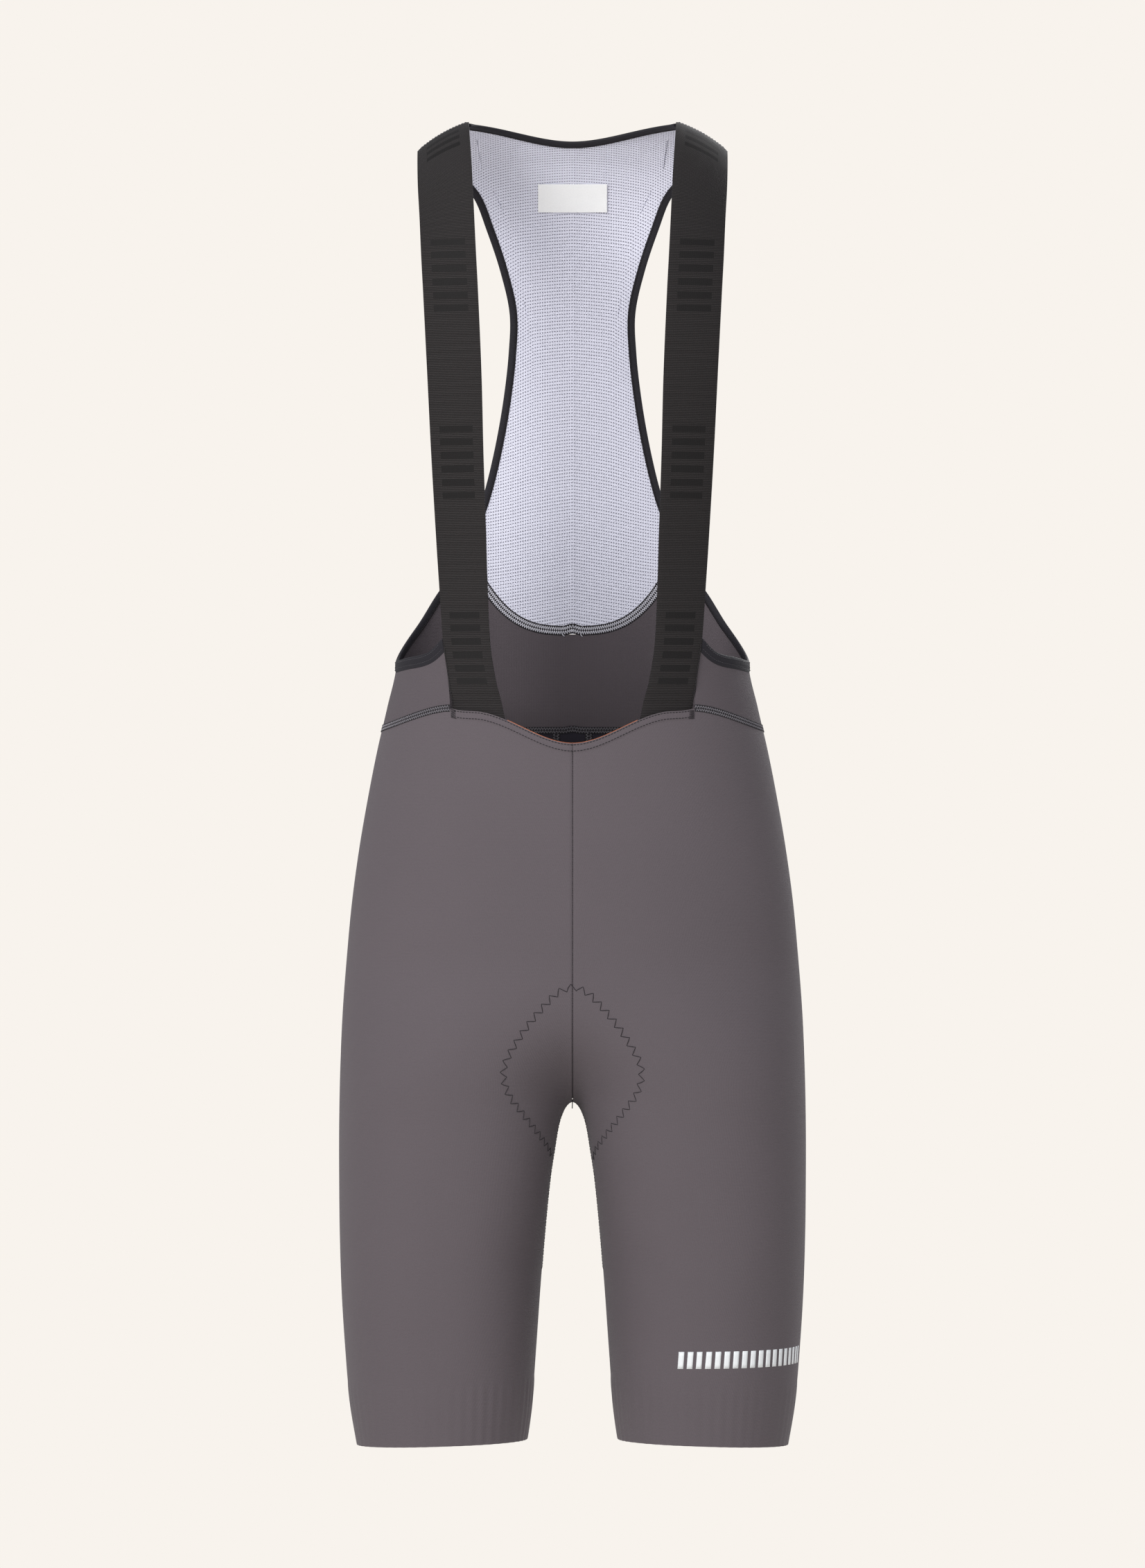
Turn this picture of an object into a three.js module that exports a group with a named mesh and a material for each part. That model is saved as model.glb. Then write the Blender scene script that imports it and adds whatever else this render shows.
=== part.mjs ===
// Cycling bib shorts as they are worn: a hollow form of cut and sewn stretch cloth.
// Millimetres, +Z up. The wearer faces -Y, and the wearer's left side is +X.
// The origin lies midway between the shoulders, at the height where the straps cross them.
import * as THREE from 'three';

const HALF_PI = Math.PI / 2;

// Cloth, and the gap that a sewn seam leaves between two pieces
const CLOTH = { body: 1.2, mesh: 1.0, strap: 1.4, facing: 1.0, label: 0.8 };
const BINDING = { inside: -1.8, outside: 0.6, crown: 0.4 };
const SEAM = 0.3;

// The wearer's general figure, from the hems up to the shoulders. The depths are measured
// forwards and backwards from the side line, which runs at y = mid.
const FORM = table(['z', 'wide', 'front', 'back', 'mid'], [
  [-956, 154.6, 69, 65, -2],
  [-921, 160.5, 73, 68, -2],
  [-881, 164, 77, 73, -2],
  [-841, 166.5, 82, 79, -1],
  [-801, 167.8, 87, 86, 0],
  [-761, 168.3, 91, 94, 1],
  [-721, 168.3, 95, 102, 2],
  [-681, 167.5, 99, 111, 2],
  [-641, 165.8, 101, 118, 2],
  [-601, 162.8, 102, 121, 2],
  [-561, 159, 101, 117, 1],
  [-521, 153.5, 99, 108, 0],
  [-481, 146.5, 97, 97, 0],
  [-451, 140.5, 95.5, 90, 0],
  [-421, 133.5, 94, 85.5, 0],
  [-391, 127, 93, 83, 0],
  [-351, 127.5, 93, 82, 0],
  [-301, 132, 96, 84, 0],
  [-251, 141, 101, 89, 0],
  [-201, 152, 106, 95, 0],
  [-151, 162, 108, 99, 0],
  [-101, 168, 104, 98, 0],
  [-51, 172, 92, 94, 0],
  [0, 174, 80, 88, 0],
]);
const ROUNDNESS = 2.25;

// The gap between the legs: its half width, squared so that it opens round from the crotch
const CROTCH = -705.5;
const INSEAM = table(['z', 'halfGapSquared'], [
  [-956, 34 ** 2],
  [-941, 31.5 ** 2],
  [-921, 29 ** 2],
  [-881, 26 ** 2],
  [-841, 23.2 ** 2],
  [-801, 20 ** 2],
  [-761, 16 ** 2],
  [-741, 13 ** 2],
  [-721, 9.5 ** 2],
  [CROTCH, 0],
]);
const SADDLE = { opening: 5.8, below: 120, above: 200, lobes: 110 };

// The shoulders: a ridge at y = 0 that falls away sideways, and a dome in front and behind it
const RIDGE = { top: 7, fall: 28, halfWidth: 111, power: 3.477 };
const DOME = { front: 110, back: 90 };
const DOME_END = -330;

// Straps: the edges of the front run, by height. They end behind the front panel.
const STRAP = table(['z', 'inner', 'outer'], [
  [-432.5, 47.9, 84.8],
  [-425.8, 49.3, 86.2],
  [-402.1, 54.4, 88.1],
  [-377.4, 58.2, 91.5],
  [-333.2, 60.3, 94.6],
  [-303.7, 61.1, 96.5],
  [-244.8, 63, 99.9],
  [-185.8, 64.4, 102.8],
  [-126.7, 66.9, 105.8],
  [-96.7, 68.5, 107.4],
  [-66, 70.1, 108.7],
  [-34.6, 71.9, 110.1],
  [0, 74.5, 111],
]);
const STRAP_TUCK = { start: -404, end: -421.5, depth: 3.2, foot: -432.5 };
const SHOULDER_SEAM = 4;

// Front neckline: lowest at the middle, level between its shoulders and the side seam
const NECKLINE = { middle: -447.5, rise: 23, reach: 72 };
// The seam from the strap round the side to the back, above which the yoke begins
const YOKE_SEAM = table(['x', 'z'], [
  [72, -424.5],
  [80, -423.9],
  [88, -422.6],
  [98, -423.9],
  [110.7, -427.4],
  [133, -435.2],
  [140, -437.3],
]);
const YOKE_SEAM_BACK = -437.2;

// The open edge under and behind the arm. Its low part is given round the body from the side
// line, forwards negative, and its high part by half width on the back.
const SCOOP_EDGE = [
  { round: -96, z: -359 },
  { round: -88, z: -366 },
  { round: -80, z: -372.7 },
  { round: -67, z: -382.2 },
  { round: -43.5, z: -385.8 },
  { round: 0, z: -387 },
  { round: 19.2, z: -380 },
  { round: 46, z: -361 },
  { round: 67.7, z: -337 },
];
const ARMHOLE_EDGE = [
  { x: 83.6, z: -317 },
  { x: 75, z: -292.6 },
  { x: 67.3, z: -272.3 },
  { x: 61.8, z: -253 },
  { x: 55.2, z: -222.7 },
  { x: 50.2, z: -192.3 },
  { x: 46.8, z: -161 },
  { x: 46.1, z: -132 },
  { x: 52.8, z: -101.5 },
  { x: 62.8, z: -71.5 },
  { x: 72.5, z: -48 },
  { x: 88, z: -33 },
  { x: 98, z: -26 },
  { x: 107.5, z: -20 },
];
const BAND_WIDTH = { scoop: 8, armhole: 5, neck: 5.5 };

// Back neckline, and the curved seam that joins the mesh back to the yoke
const BACK_NECK = { dip: 9.2, reach: 72, corner: 70 };
const MESH_SEAM = { middle: -367, rise: 30.4, reach: 61.8 };

// How the panels' columns keep apart above the crotch
const SPREAD = { limit: 0.75, sharpest: 6, height: 160 };

// Small pieces
const SEAT_STRIP = { half: 12, start: 12, taper: 70 };
const FACING = { half: 46.5, height: 8, below: 0.8, outer: -1.6 };
const LABEL = { half: 25.3, top: -37.3, bottom: -57.3, outer: -1.5 };

// Seat pad: half width of its outline by height, seen from the front and from the back
const PAD_FRONT = table(['z', 'half'], [
  [-760, 14],
  [-740, 16],
  [-728, 23],
  [-708, 38],
  [-697, 45.5],
  [-685, 49],
  [-674, 47.5],
  [-657, 38],
  [-644.5, 29],
  [-634, 20],
  [-625, 11],
  [-621, 3],
]);
const PAD_BACK = table(['z', 'half'], [
  [-760, 14],
  [-740, 16],
  [-720, 30],
  [-700, 46],
  [-680, 57],
  [-655, 62],
  [-635, 60],
  [-615, 50],
  [-601, 34],
  [-594, 18],
  [-591, 5],
]);
const PAD = {
  clearance: 2.2, edge: 1.5, middle: 6, softEdge: 24, frontTop: -622, backTop: -592, crowding: 1.5,
};

// Hems: level at z, lower outwards and backwards, with the gripper's upright ribs above them
const HEM = { z: -950.3, x: 94, tiltX: -0.032, tiltY: -0.02 };
const RIBS = { count: 52, height: 40, fade: 6, rise: 0.38 };

const DETAIL = {
  legColumns: 34, legBelow: 8, legAbove: 13, bunching: 0.6,
  section: 180, columnSteps: 44,
  yokeBack: 10, yokeSideRows: 9, scoopRows: 12, yokeRows: 5,
  meshRows: 22, shoulderColumns: 3,
  strapRows: 24, tuckRows: 6, neckRows: 14,
  padRows: 24, padColumns: 12,
};

// Helpers: tables, blends and points on a surface

function table(names, rows) {
  const keys = rows.map((row) => row[0]);
  const columns = {};
  names.slice(1).forEach((name, index) => {
    columns[name] = smoothColumn(keys, rows.map((row) => row[index + 1]));
  });
  return columns;
}

// A cubic curve through the rows, level beyond its ends
function smoothColumn(keys, values) {
  const last = keys.length - 1;
  const slope = (i) => {
    const before = Math.max(0, i - 1);
    const after = Math.min(last, i + 1);
    return (values[after] - values[before]) / (keys[after] - keys[before]);
  };
  return (key) => {
    if (key <= keys[0]) return values[0];
    if (key >= keys[last]) return values[last];
    let i = 0;
    while (keys[i + 1] < key) i++;
    const span = keys[i + 1] - keys[i];
    const t = (key - keys[i]) / span;
    const t2 = t * t;
    const t3 = t2 * t;
    return values[i] * (2 * t3 - 3 * t2 + 1) + values[i + 1] * (3 * t2 - 2 * t3)
      + span * (slope(i) * (t3 - 2 * t2 + t) + slope(i + 1) * (t3 - t2));
  };
}

function clamp(value, low = 0, high = 1) {
  return Math.min(high, Math.max(low, value));
}

function smooth(t) {
  const c = clamp(t);
  return c * c * (3 - 2 * c);
}

function mix(a, b, t) {
  return a + (b - a) * t;
}

function signedPower(value, power) {
  return Math.sign(value) * Math.abs(value) ** power;
}

function steps(count, make) {
  return Array.from({ length: count + 1 }, (_, k) => make(k / count, k));
}

// A point on the cloth: its place, and the direction out of the cloth there
function clothPoint(x, y, z, normal) {
  return { at: new THREE.Vector3(x, y, z), out: normal };
}

function lifted(point, distance) {
  return point.at.clone().addScaledVector(point.out, distance);
}

function mirrored(rows) {
  return rows.map((row) => row.map((p) => new THREE.Vector3(-p.x, p.y, p.z)));
}

// Closed walls: rows of points on the outside and on the inside, joined round their edges.
// Two rows may have different numbers of points, and the shorter diagonal is always taken.

function joinRows(points, faces, lower, upper) {
  let i = 0;
  let j = 0;
  while (i < lower.length - 1 || j < upper.length - 1) {
    const canLower = i < lower.length - 1;
    const canUpper = j < upper.length - 1;
    let advanceLower = canLower;
    if (canLower && canUpper) {
      const viaLower = points[lower[i + 1]].distanceToSquared(points[upper[j]]);
      const viaUpper = points[lower[i]].distanceToSquared(points[upper[j + 1]]);
      advanceLower = viaLower <= viaUpper;
    }
    if (advanceLower) {
      faces.push([lower[i], lower[i + 1], upper[j]]);
      i++;
    } else {
      faces.push([lower[i], upper[j + 1], upper[j]]);
      j++;
    }
  }
}

function wall(outerRows, innerRows) {
  const points = [];
  const faces = [];
  const number = (rows) => rows.map((row) => row.map((p) => points.push(p) - 1));
  const outer = number(outerRows);
  const inner = number(innerRows);
  const side = (rows, end) => rows.map((row) => row.at(end));
  for (let r = 0; r + 1 < outer.length; r++) joinRows(points, faces, outer[r], outer[r + 1]);
  for (let r = 0; r + 1 < inner.length; r++) joinRows(points, faces, inner[r + 1], inner[r]);
  joinRows(points, faces, inner[0], outer[0]);
  joinRows(points, faces, outer.at(-1), inner.at(-1));
  joinRows(points, faces, side(outer, 0), side(inner, 0));
  joinRows(points, faces, side(inner, -1), side(outer, -1));
  return closedGeometry(points, faces);
}

function closedGeometry(points, faces) {
  let volume = 0;
  for (const [a, b, c] of faces) {
    volume += points[a].dot(new THREE.Vector3().crossVectors(points[b], points[c]));
  }
  const outward = volume > 0 ? faces : faces.map(([a, b, c]) => [a, c, b]);
  const geometry = new THREE.BufferGeometry();
  geometry.setAttribute('position', new THREE.Float32BufferAttribute(
    points.flatMap((p) => [p.x, p.y, p.z]), 3));
  geometry.setIndex(outward.flat());
  geometry.computeVertexNormals();
  return geometry;
}

// A wall of even thickness under a grid of cloth points
function sheetWall(grid, outside, thickness) {
  return wall(
    grid.map((row) => row.map((p) => lifted(p, outside))),
    grid.map((row) => row.map((p) => lifted(p, outside - thickness))),
  );
}

// The lower body. Above the crotch a section is one round outline, and below it each leg has
// its own. Measured sideways in local = sqrt((x - shift)^2 + pinch) both are one smooth form,
// and the pinch passes through nothing at the crotch, which leaves a saddle there.

function shapeAt(z) {
  const h = z - CROTCH;
  const wide = FORM.wide(z);
  let shift = 0;
  let pinch = SADDLE.opening * h * (1 - smooth(h / SADDLE.above));
  let lobe = 1 - smooth(h / SADDLE.lobes);
  if (h <= 0) {
    const gap = Math.sqrt(Math.max(0, INSEAM.halfGapSquared(z)));
    const soft = gap * (1 - smooth(-h / SADDLE.below));
    shift = gap - soft;
    pinch = -soft * soft;
    lobe = 1;
  }
  const halfLength = Math.sqrt((wide - shift) ** 2 + pinch) / (1 + lobe);
  return {
    front: FORM.front(z), back: FORM.back(z), mid: FORM.mid(z),
    shift, pinch, halfLength, centre: lobe * halfLength,
  };
}

function localX(shape, x) {
  const square = (x - shape.shift) ** 2 + shape.pinch;
  return Math.sign(square) * Math.sqrt(Math.abs(square));
}

// Less than 1 inside the form, 1 on it
function fieldAt(shape, local, y) {
  const depth = y < shape.mid ? shape.front : shape.back;
  return Math.abs((local - shape.centre) / shape.halfLength) ** ROUNDNESS
    + Math.abs((y - shape.mid) / depth) ** ROUNDNESS;
}

function formNormal(sideways, y, z) {
  const step = 0.05;
  const x = Math.max(sideways, 0.01);
  const shape = shapeAt(z);
  const above = shapeAt(z + step);
  const below = shapeAt(z - step);
  const local = localX(shape, x);
  const depth = y < shape.mid ? shape.front : shape.back;
  const slopeLocal = ROUNDNESS * signedPower(local - shape.centre, ROUNDNESS - 1)
    / shape.halfLength ** ROUNDNESS;
  const slopeY = ROUNDNESS * signedPower(y - shape.mid, ROUNDNESS - 1) / depth ** ROUNDNESS;
  const shiftSlope = (above.shift - below.shift) / (2 * step);
  const pinchSlope = (above.pinch - below.pinch) / (2 * step);
  const fieldSlope = (fieldAt(above, local, y) - fieldAt(below, local, y)) / (2 * step);
  return new THREE.Vector3(
    slopeLocal * (x - shape.shift),
    local * slopeY,
    slopeLocal * (pinchSlope / 2 - (x - shape.shift) * shiftSlope) + local * fieldSlope,
  ).normalize();
}

// A section's outline at +X, from its front middle round the side to its back middle
const sections = new Map();

function sectionAt(z) {
  if (sections.has(z)) return sections.get(z);
  const shape = shapeAt(z);
  const start = (shape.centre - Math.sqrt(Math.max(0, shape.pinch))) / shape.halfLength;
  const first = Math.acos(clamp(signedPower(start, ROUNDNESS / 2), -1, 1));
  const outline = (u) => {
    const angle = first + (2 * Math.PI - 2 * first) * (1 - Math.cos(Math.PI * u)) / 2;
    const power = 2 / ROUNDNESS;
    const local = shape.centre - shape.halfLength * signedPower(Math.cos(angle), power);
    const sine = signedPower(Math.sin(angle), power);
    const x = shape.shift + Math.sqrt(Math.max(0, local ** 2 - shape.pinch));
    return [x, shape.mid - sine * (sine > 0 ? shape.front : shape.back)];
  };
  const lengths = [0];
  let [lastX, lastY] = outline(0);
  for (let k = 1; k <= DETAIL.section; k++) {
    const [x, y] = outline(k / DETAIL.section);
    lengths.push(lengths[k - 1] + Math.hypot(x - lastX, y - lastY));
    [lastX, lastY] = [x, y];
  }
  const frontLength = lengths[DETAIL.section / 2];
  const section = { outline, lengths, frontLength, length: lengths.at(-1) };
  sections.set(z, section);
  return section;
}

function sectionPoint(z, distance) {
  const { outline, lengths } = sectionAt(z);
  let k = 0;
  while (k < lengths.length - 2 && lengths[k + 1] < distance) k++;
  const t = clamp((distance - lengths[k]) / (lengths[k + 1] - lengths[k]));
  const [x, y] = outline((k + t) / DETAIL.section);
  return clothPoint(x, y, z, formNormal(x, y, z));
}

// The distance round a section from its back middle to the point at x on its front or back
function distanceFromBack(z, x, facing) {
  const { outline, lengths, length } = sectionAt(z);
  const place = lengths.map((_, k) => outline(k / DETAIL.section));
  const order = facing > 0 ? place.map((_, k) => place.length - 1 - k) : place.map((_, k) => k);
  const k = order.find((index, n) => n > 0 && place[index][0] >= x) ?? order.at(-1);
  const before = facing > 0 ? k + 1 : k - 1;
  const t = (x - place[before][0]) / (place[k][0] - place[before][0]);
  return length - mix(lengths[before], lengths[k], t);
}

// Leg panels: from the hem, round the leg and over the hip, up to the neckline and the yoke

function topEdge(point) {
  const x = Math.abs(point.at.x);
  if (point.at.y > 0) return YOKE_SEAM_BACK;
  if (x < NECKLINE.reach) return NECKLINE.middle + NECKLINE.rise * smooth(x / NECKLINE.reach);
  return YOKE_SEAM.z(x);
}

function hemEdge(point) {
  return HEM.z + HEM.tiltX * (point.at.x - HEM.x) + HEM.tiltY * point.at.y;
}

// Half the width of the strip between the two panels at the back
function stripHalf(z) {
  return SEAT_STRIP.half * smooth((z - CROTCH) / SEAT_STRIP.taper);
}

// A panel's point at a height and at a share of the way round it, from front to back. Above
// the crotch its edges run quickly along the body's middle line: at first only the columns
// beside an edge follow it, and higher up they all spread evenly again.
function panelPoint(z, t) {
  const { length, frontLength } = sectionAt(z);
  let distance = mix(SEAM / 2, length - SEAM / 2, t);
  if (z > CROTCH) {
    const crotch = sectionAt(CROTCH);
    const place = t * (crotch.length - SEAM) - crotch.frontLength + SEAM / 2;
    const facing = Math.sign(place);
    const beside = smooth((z - CROTCH - SEAT_STRIP.start + 4) / 4);
    const backMargin = SEAM / 2 + (stripHalf(z) + SEAM / 2) * beside;
    const reach = facing < 0 ? frontLength - SEAM / 2 : length - frontLength - backMargin;
    const full = (facing < 0 ? crotch.frontLength : crotch.length - crotch.frontLength) - SEAM / 2;
    const sharp = clamp(SPREAD.limit * full / (full - reach), 1, SPREAD.sharpest);
    const power = mix(sharp, 1, smooth((z - CROTCH) / SPREAD.height));
    const fromSide = Math.abs(place) - (full - reach) * (Math.abs(place) / full) ** power;
    distance = frontLength + facing * fromSide;
  }
  const point = sectionPoint(z, distance);
  point.at.x = Math.max(point.at.x, SEAM / 2);
  return point;
}

function settle(t, guess, edge) {
  let z = guess;
  for (let k = 0; k < 4; k++) z = edge(panelPoint(z, t));
  return z;
}

// Points down or up a panel's column from the crotch, spaced evenly on the cloth but closer
// together near the crotch
function panelColumn(t, limit, count, grading, crowding) {
  const heightAt = (u) => CROTCH + (limit - CROTCH) * u ** grading;
  const track = steps(DETAIL.columnSteps, (u) => panelPoint(heightAt(u), t).at);
  const lengths = [0];
  for (let k = 1; k < track.length; k++) {
    lengths.push(lengths[k - 1] + track[k].distanceTo(track[k - 1]));
  }
  return steps(count, (share) => {
    const distance = lengths.at(-1) * share ** crowding;
    let k = 0;
    while (k < lengths.length - 2 && lengths[k + 1] < distance) k++;
    const part = clamp((distance - lengths[k]) / (lengths[k + 1] - lengths[k]));
    return panelPoint(heightAt((k + part) / DETAIL.columnSteps), t);
  });
}

function legPanel() {
  const ts = steps(DETAIL.legColumns, (u) => (
    u - DETAIL.bunching / (2 * Math.PI) * Math.sin(2 * Math.PI * u)));
  const hemAt = (t) => settle(t, HEM.z, hemEdge);
  const columns = ts.map((t) => {
    const top = settle(t, YOKE_SEAM_BACK, topEdge) - SEAM / 2;
    const ribTop = hemAt(t) + RIBS.height + RIBS.fade;
    const below = panelColumn(t, ribTop, DETAIL.legBelow, 2.2, 1.6).reverse();
    const above = panelColumn(t, top, DETAIL.legAbove, 3, 1.4);
    return [...below, ...above.slice(1)];
  });
  const grid = columns[0].map((_, row) => columns.map((column) => column[row]));
  const ribRow = (height) => steps(2 * RIBS.count, (t, k) => (
    lifted(panelPoint(hemAt(t) + height, t), k % 2 ? RIBS.rise : 0)));
  const hemRow = ts.map((t) => panelPoint(hemAt(t), t));
  const outer = [ribRow(0), ribRow(RIBS.height), ...grid.map((row) => row.map((p) => p.at))];
  const inner = [hemRow, ...grid].map((row) => row.map((p) => lifted(p, -CLOTH.body)));
  return { outer, inner: inner.map((row) => row.map(offMiddle)) };
}

function offMiddle(p) {
  return new THREE.Vector3(Math.max(p.x, SEAM / 2), p.y, p.z);
}

// The narrow strip up the middle of the seat, between the two panels. Its rows stand at the
// heights of the panels' rows, so that the edges run side by side.
function seatStrip(panelRows) {
  const across = 4;
  const heights = panelRows.map((row) => row.at(-1).z)
    .filter((z) => z > CROTCH + SEAT_STRIP.start);
  const grid = heights.map((z) => steps(across, (v) => {
    const side = 2 * v - 1;
    const point = sectionPoint(z, sectionAt(z).length - stripHalf(z) * Math.abs(side));
    if (side < 0) {
      point.at.x *= -1;
      point.out.x *= -1;
    }
    return point;
  }));
  return sheetWall(grid, 0, CLOTH.body);
}

// The upper body: the same sections, rounded over into the shoulders

function ridgeAt(x) {
  return RIDGE.top - RIDGE.fall * (Math.abs(x) / RIDGE.halfWidth) ** RIDGE.power;
}

function depthAt(x, z, facing) {
  const depth = facing < 0 ? FORM.front(z) : FORM.back(z);
  const inside = 1 - Math.abs(x / FORM.wide(z)) ** ROUNDNESS;
  return depth * Math.max(0, inside) ** (1 / ROUNDNESS);
}

// turn is 0 on the ridge and 1 where the dome has become upright; it is negative in front
function shoulderPlace(x, turn) {
  const facing = turn < 0 ? -1 : 1;
  const q = Math.abs(turn);
  const dome = turn < 0 ? DOME.front : DOME.back;
  const drop = q < 1 ? dome * (1 - Math.cos(q * HALF_PI)) : dome * (1 + (q - 1) * HALF_PI);
  const z = ridgeAt(x) - drop;
  const roundness = q < 1 ? Math.sin(q * HALF_PI) : 1;
  return new THREE.Vector3(x, facing * roundness * depthAt(x, z, facing), z);
}

function shoulderPoint(x, turn) {
  const step = 0.002;
  const acrossCloth = shoulderPlace(x + 0.2, turn).sub(shoulderPlace(x - 0.2, turn));
  const downCloth = shoulderPlace(x, turn + step).sub(shoulderPlace(x, turn - step));
  const normal = new THREE.Vector3().crossVectors(downCloth, acrossCloth).normalize();
  const at = shoulderPlace(x, turn);
  if (normal.dot(new THREE.Vector3(at.x, at.y, 60)) < 0) normal.negate();
  return { at, out: normal };
}

function turnFromHeight(x, z, facing) {
  const dome = facing < 0 ? DOME.front : DOME.back;
  const drop = Math.max(0, ridgeAt(x) - z) / dome;
  return facing * (drop > 1 ? 1 + (drop - 1) / HALF_PI : Math.acos(1 - drop) / HALF_PI);
}

function turnFromDepth(x, y, z = 0) {
  return Math.sign(y) * Math.asin(clamp(Math.abs(y) / depthAt(x, z, y))) / HALF_PI;
}

// Just behind the straps' ends, where the mesh back and its bindings begin
function onShoulderSeam(x) {
  return shoulderPoint(x, turnFromDepth(x, SHOULDER_SEAM + 1.5 * SEAM));
}

// Near the ridge the depth tells the turn more surely than the height does
function turnAt(x, y, z) {
  const facing = y < 0 ? -1 : 1;
  const nearRidge = ridgeAt(x) - z < 0.3 * DOME.back;
  return nearRidge ? turnFromDepth(x, y, z) : turnFromHeight(x, z, facing);
}

// The cloth point that lies nearest to a place on the upper body
function onBody(place) {
  const { x, y, z } = place;
  if (z > DOME_END && Math.abs(x) < 0.85 * FORM.wide(z)) return shoulderPoint(x, turnAt(x, y, z));
  const mid = FORM.mid(z);
  const depth = y < mid ? FORM.front(z) : FORM.back(z);
  const scale = (Math.abs(x / FORM.wide(z)) ** ROUNDNESS
    + Math.abs((y - mid) / depth) ** ROUNDNESS) ** (1 / ROUNDNESS);
  const normal = formNormal(Math.abs(x) / scale, mid + (y - mid) / scale, z);
  normal.x *= Math.sign(x) || 1;
  return clothPoint(x / scale, mid + (y - mid) / scale, z, normal);
}

// Open edges, as curves on the body, and the bands along them

function strapOutside(z) {
  return STRAP.outer(z) + 1.5 * SEAM;
}

function edgeCurve(places) {
  return new THREE.CatmullRomCurve3(places, false, 'centripetal');
}

function armholeCurve() {
  const low = SCOOP_EDGE.map(({ round, z }) => {
    const quarter = distanceFromBack(z, FORM.wide(z) - 0.01, 1);
    return sectionPoint(z, sectionAt(z).length - (quarter - round)).at;
  });
  const high = ARMHOLE_EDGE.map(({ x, z }) => shoulderPlace(x, turnFromHeight(x, z, 1)));
  const end = onShoulderSeam(RIDGE.halfWidth).at;
  return edgeCurve([...low, ...high, end]);
}

function neckTurn(x) {
  const side = Math.abs(x);
  const seam = turnFromDepth(side, SHOULDER_SEAM);
  const at = Math.min(side, BACK_NECK.corner);
  const height = -BACK_NECK.dip * (1 - smooth(at / BACK_NECK.reach));
  const open = turnFromHeight(at, height, 1);
  const toSeam = clamp((side - BACK_NECK.corner) / (STRAP.inner(0) - BACK_NECK.corner));
  return mix(open, seam, toSeam);
}

function neckCurve() {
  const half = STRAP.inner(0) - 1;
  return edgeCurve(steps(40, (u) => {
    const x = mix(-half, half, u);
    return shoulderPlace(x, neckTurn(x));
  }));
}

// The cloth point at a distance from an open edge, into the cloth
function fromEdge(curve, u, distance, hand) {
  const place = curve.getPointAt(clamp(u));
  const tangent = curve.getTangentAt(clamp(u));
  const { out } = onBody(place);
  const inward = new THREE.Vector3().crossVectors(tangent, out).multiplyScalar(hand).normalize();
  return onBody(place.addScaledVector(inward, distance));
}

const armhole = armholeCurve();
const ARMHOLE_HAND = 1;
const NECK_HAND = -1;
// Half the gap between two bands that meet end to end, as a share of the edge's length
const BUTT = 0.0003;
// Where the edge passes the side line, as a share of its length
const SIDE_SHARE = steps(400, (u) => u).find((u) => armhole.getPointAt(u).y > 0);

function bandWidth(u) {
  return mix(BAND_WIDTH.scoop, BAND_WIDTH.armhole, smooth((u - SIDE_SHARE) / 0.06 + 0.5));
}

// The share of the edge's length at which a line along the band clears the strap
function bandStart(depthShare, extra) {
  const clear = (u) => {
    const { at } = fromEdge(armhole, u, depthShare * bandWidth(u) + extra, ARMHOLE_HAND);
    return at.x >= strapOutside(at.z);
  };
  return steps(1000, (u) => 0.3 * u).find(clear);
}

// Three points across a band: at its open edge, its middle and its sewn edge
function bandRow(curve, hand, width, alongs) {
  return alongs.map((along, k) => {
    const point = fromEdge(curve, along, k / 2 * width(along), hand);
    return { ...point, crown: k === 1 ? BINDING.crown : 0 };
  });
}

function bandRows(grid) {
  return {
    outer: grid.map((row) => row.map((p) => lifted(p, BINDING.outside + p.crown))),
    inner: grid.map((row) => row.map((p) => lifted(p, BINDING.inside))),
  };
}

// Shares of the edge's length at which its bands and the panels beside them have their rows:
// from the strap to the side line, on to the mesh seam's corner, and on to the shoulder
function scoopShares(start) {
  return steps(DETAIL.scoopRows, (u) => mix(start, SIDE_SHARE, u));
}

function yokeSideShares(corner) {
  return steps(DETAIL.yokeSideRows, (u) => mix(SIDE_SHARE, corner, u));
}

function meshSideShares(corner) {
  return steps(DETAIL.meshRows, (u) => mix(corner, 1, u));
}

function scoopBand() {
  const starts = [0, 0.5, 1].map((share) => scoopShares(bandStart(share, 0)));
  return starts[0].map((_, row) => bandRow(armhole, ARMHOLE_HAND, bandWidth,
    starts.map((shares) => shares[row] - BUTT)));
}

function armholeBinding() {
  const corner = seamCorner(0).share;
  const shares = [...yokeSideShares(corner), ...meshSideShares(corner).slice(1, -1)];
  const end = bandRow(armhole, ARMHOLE_HAND, bandWidth, Array(3).fill(1)).map((point, k) => ({
    ...onShoulderSeam(RIDGE.halfWidth - k / 2 * BAND_WIDTH.armhole), crown: point.crown,
  }));
  return [
    ...shares.map((share) => bandRow(
      armhole, ARMHOLE_HAND, bandWidth, Array(3).fill(share + BUTT))),
    end,
  ];
}

function neckBinding() {
  const curve = neckCurve();
  return steps(DETAIL.neckRows, (u) => bandRow(
    curve, NECK_HAND, () => BAND_WIDTH.neck, Array(3).fill(u)));
}

// The seam between the mesh back and the yoke, and the corner where it meets the binding

function meshSeam(x, gap) {
  const slope = 3 * MESH_SEAM.rise * x * Math.abs(x) / MESH_SEAM.reach ** 3;
  const height = MESH_SEAM.middle + MESH_SEAM.rise * (Math.abs(x) / MESH_SEAM.reach) ** 3;
  const length = Math.hypot(slope, 1);
  const z = height + gap / length;
  const sideways = x - gap * slope / length;
  return onBody(new THREE.Vector3(sideways, depthAt(sideways, z, 1), z));
}

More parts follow.
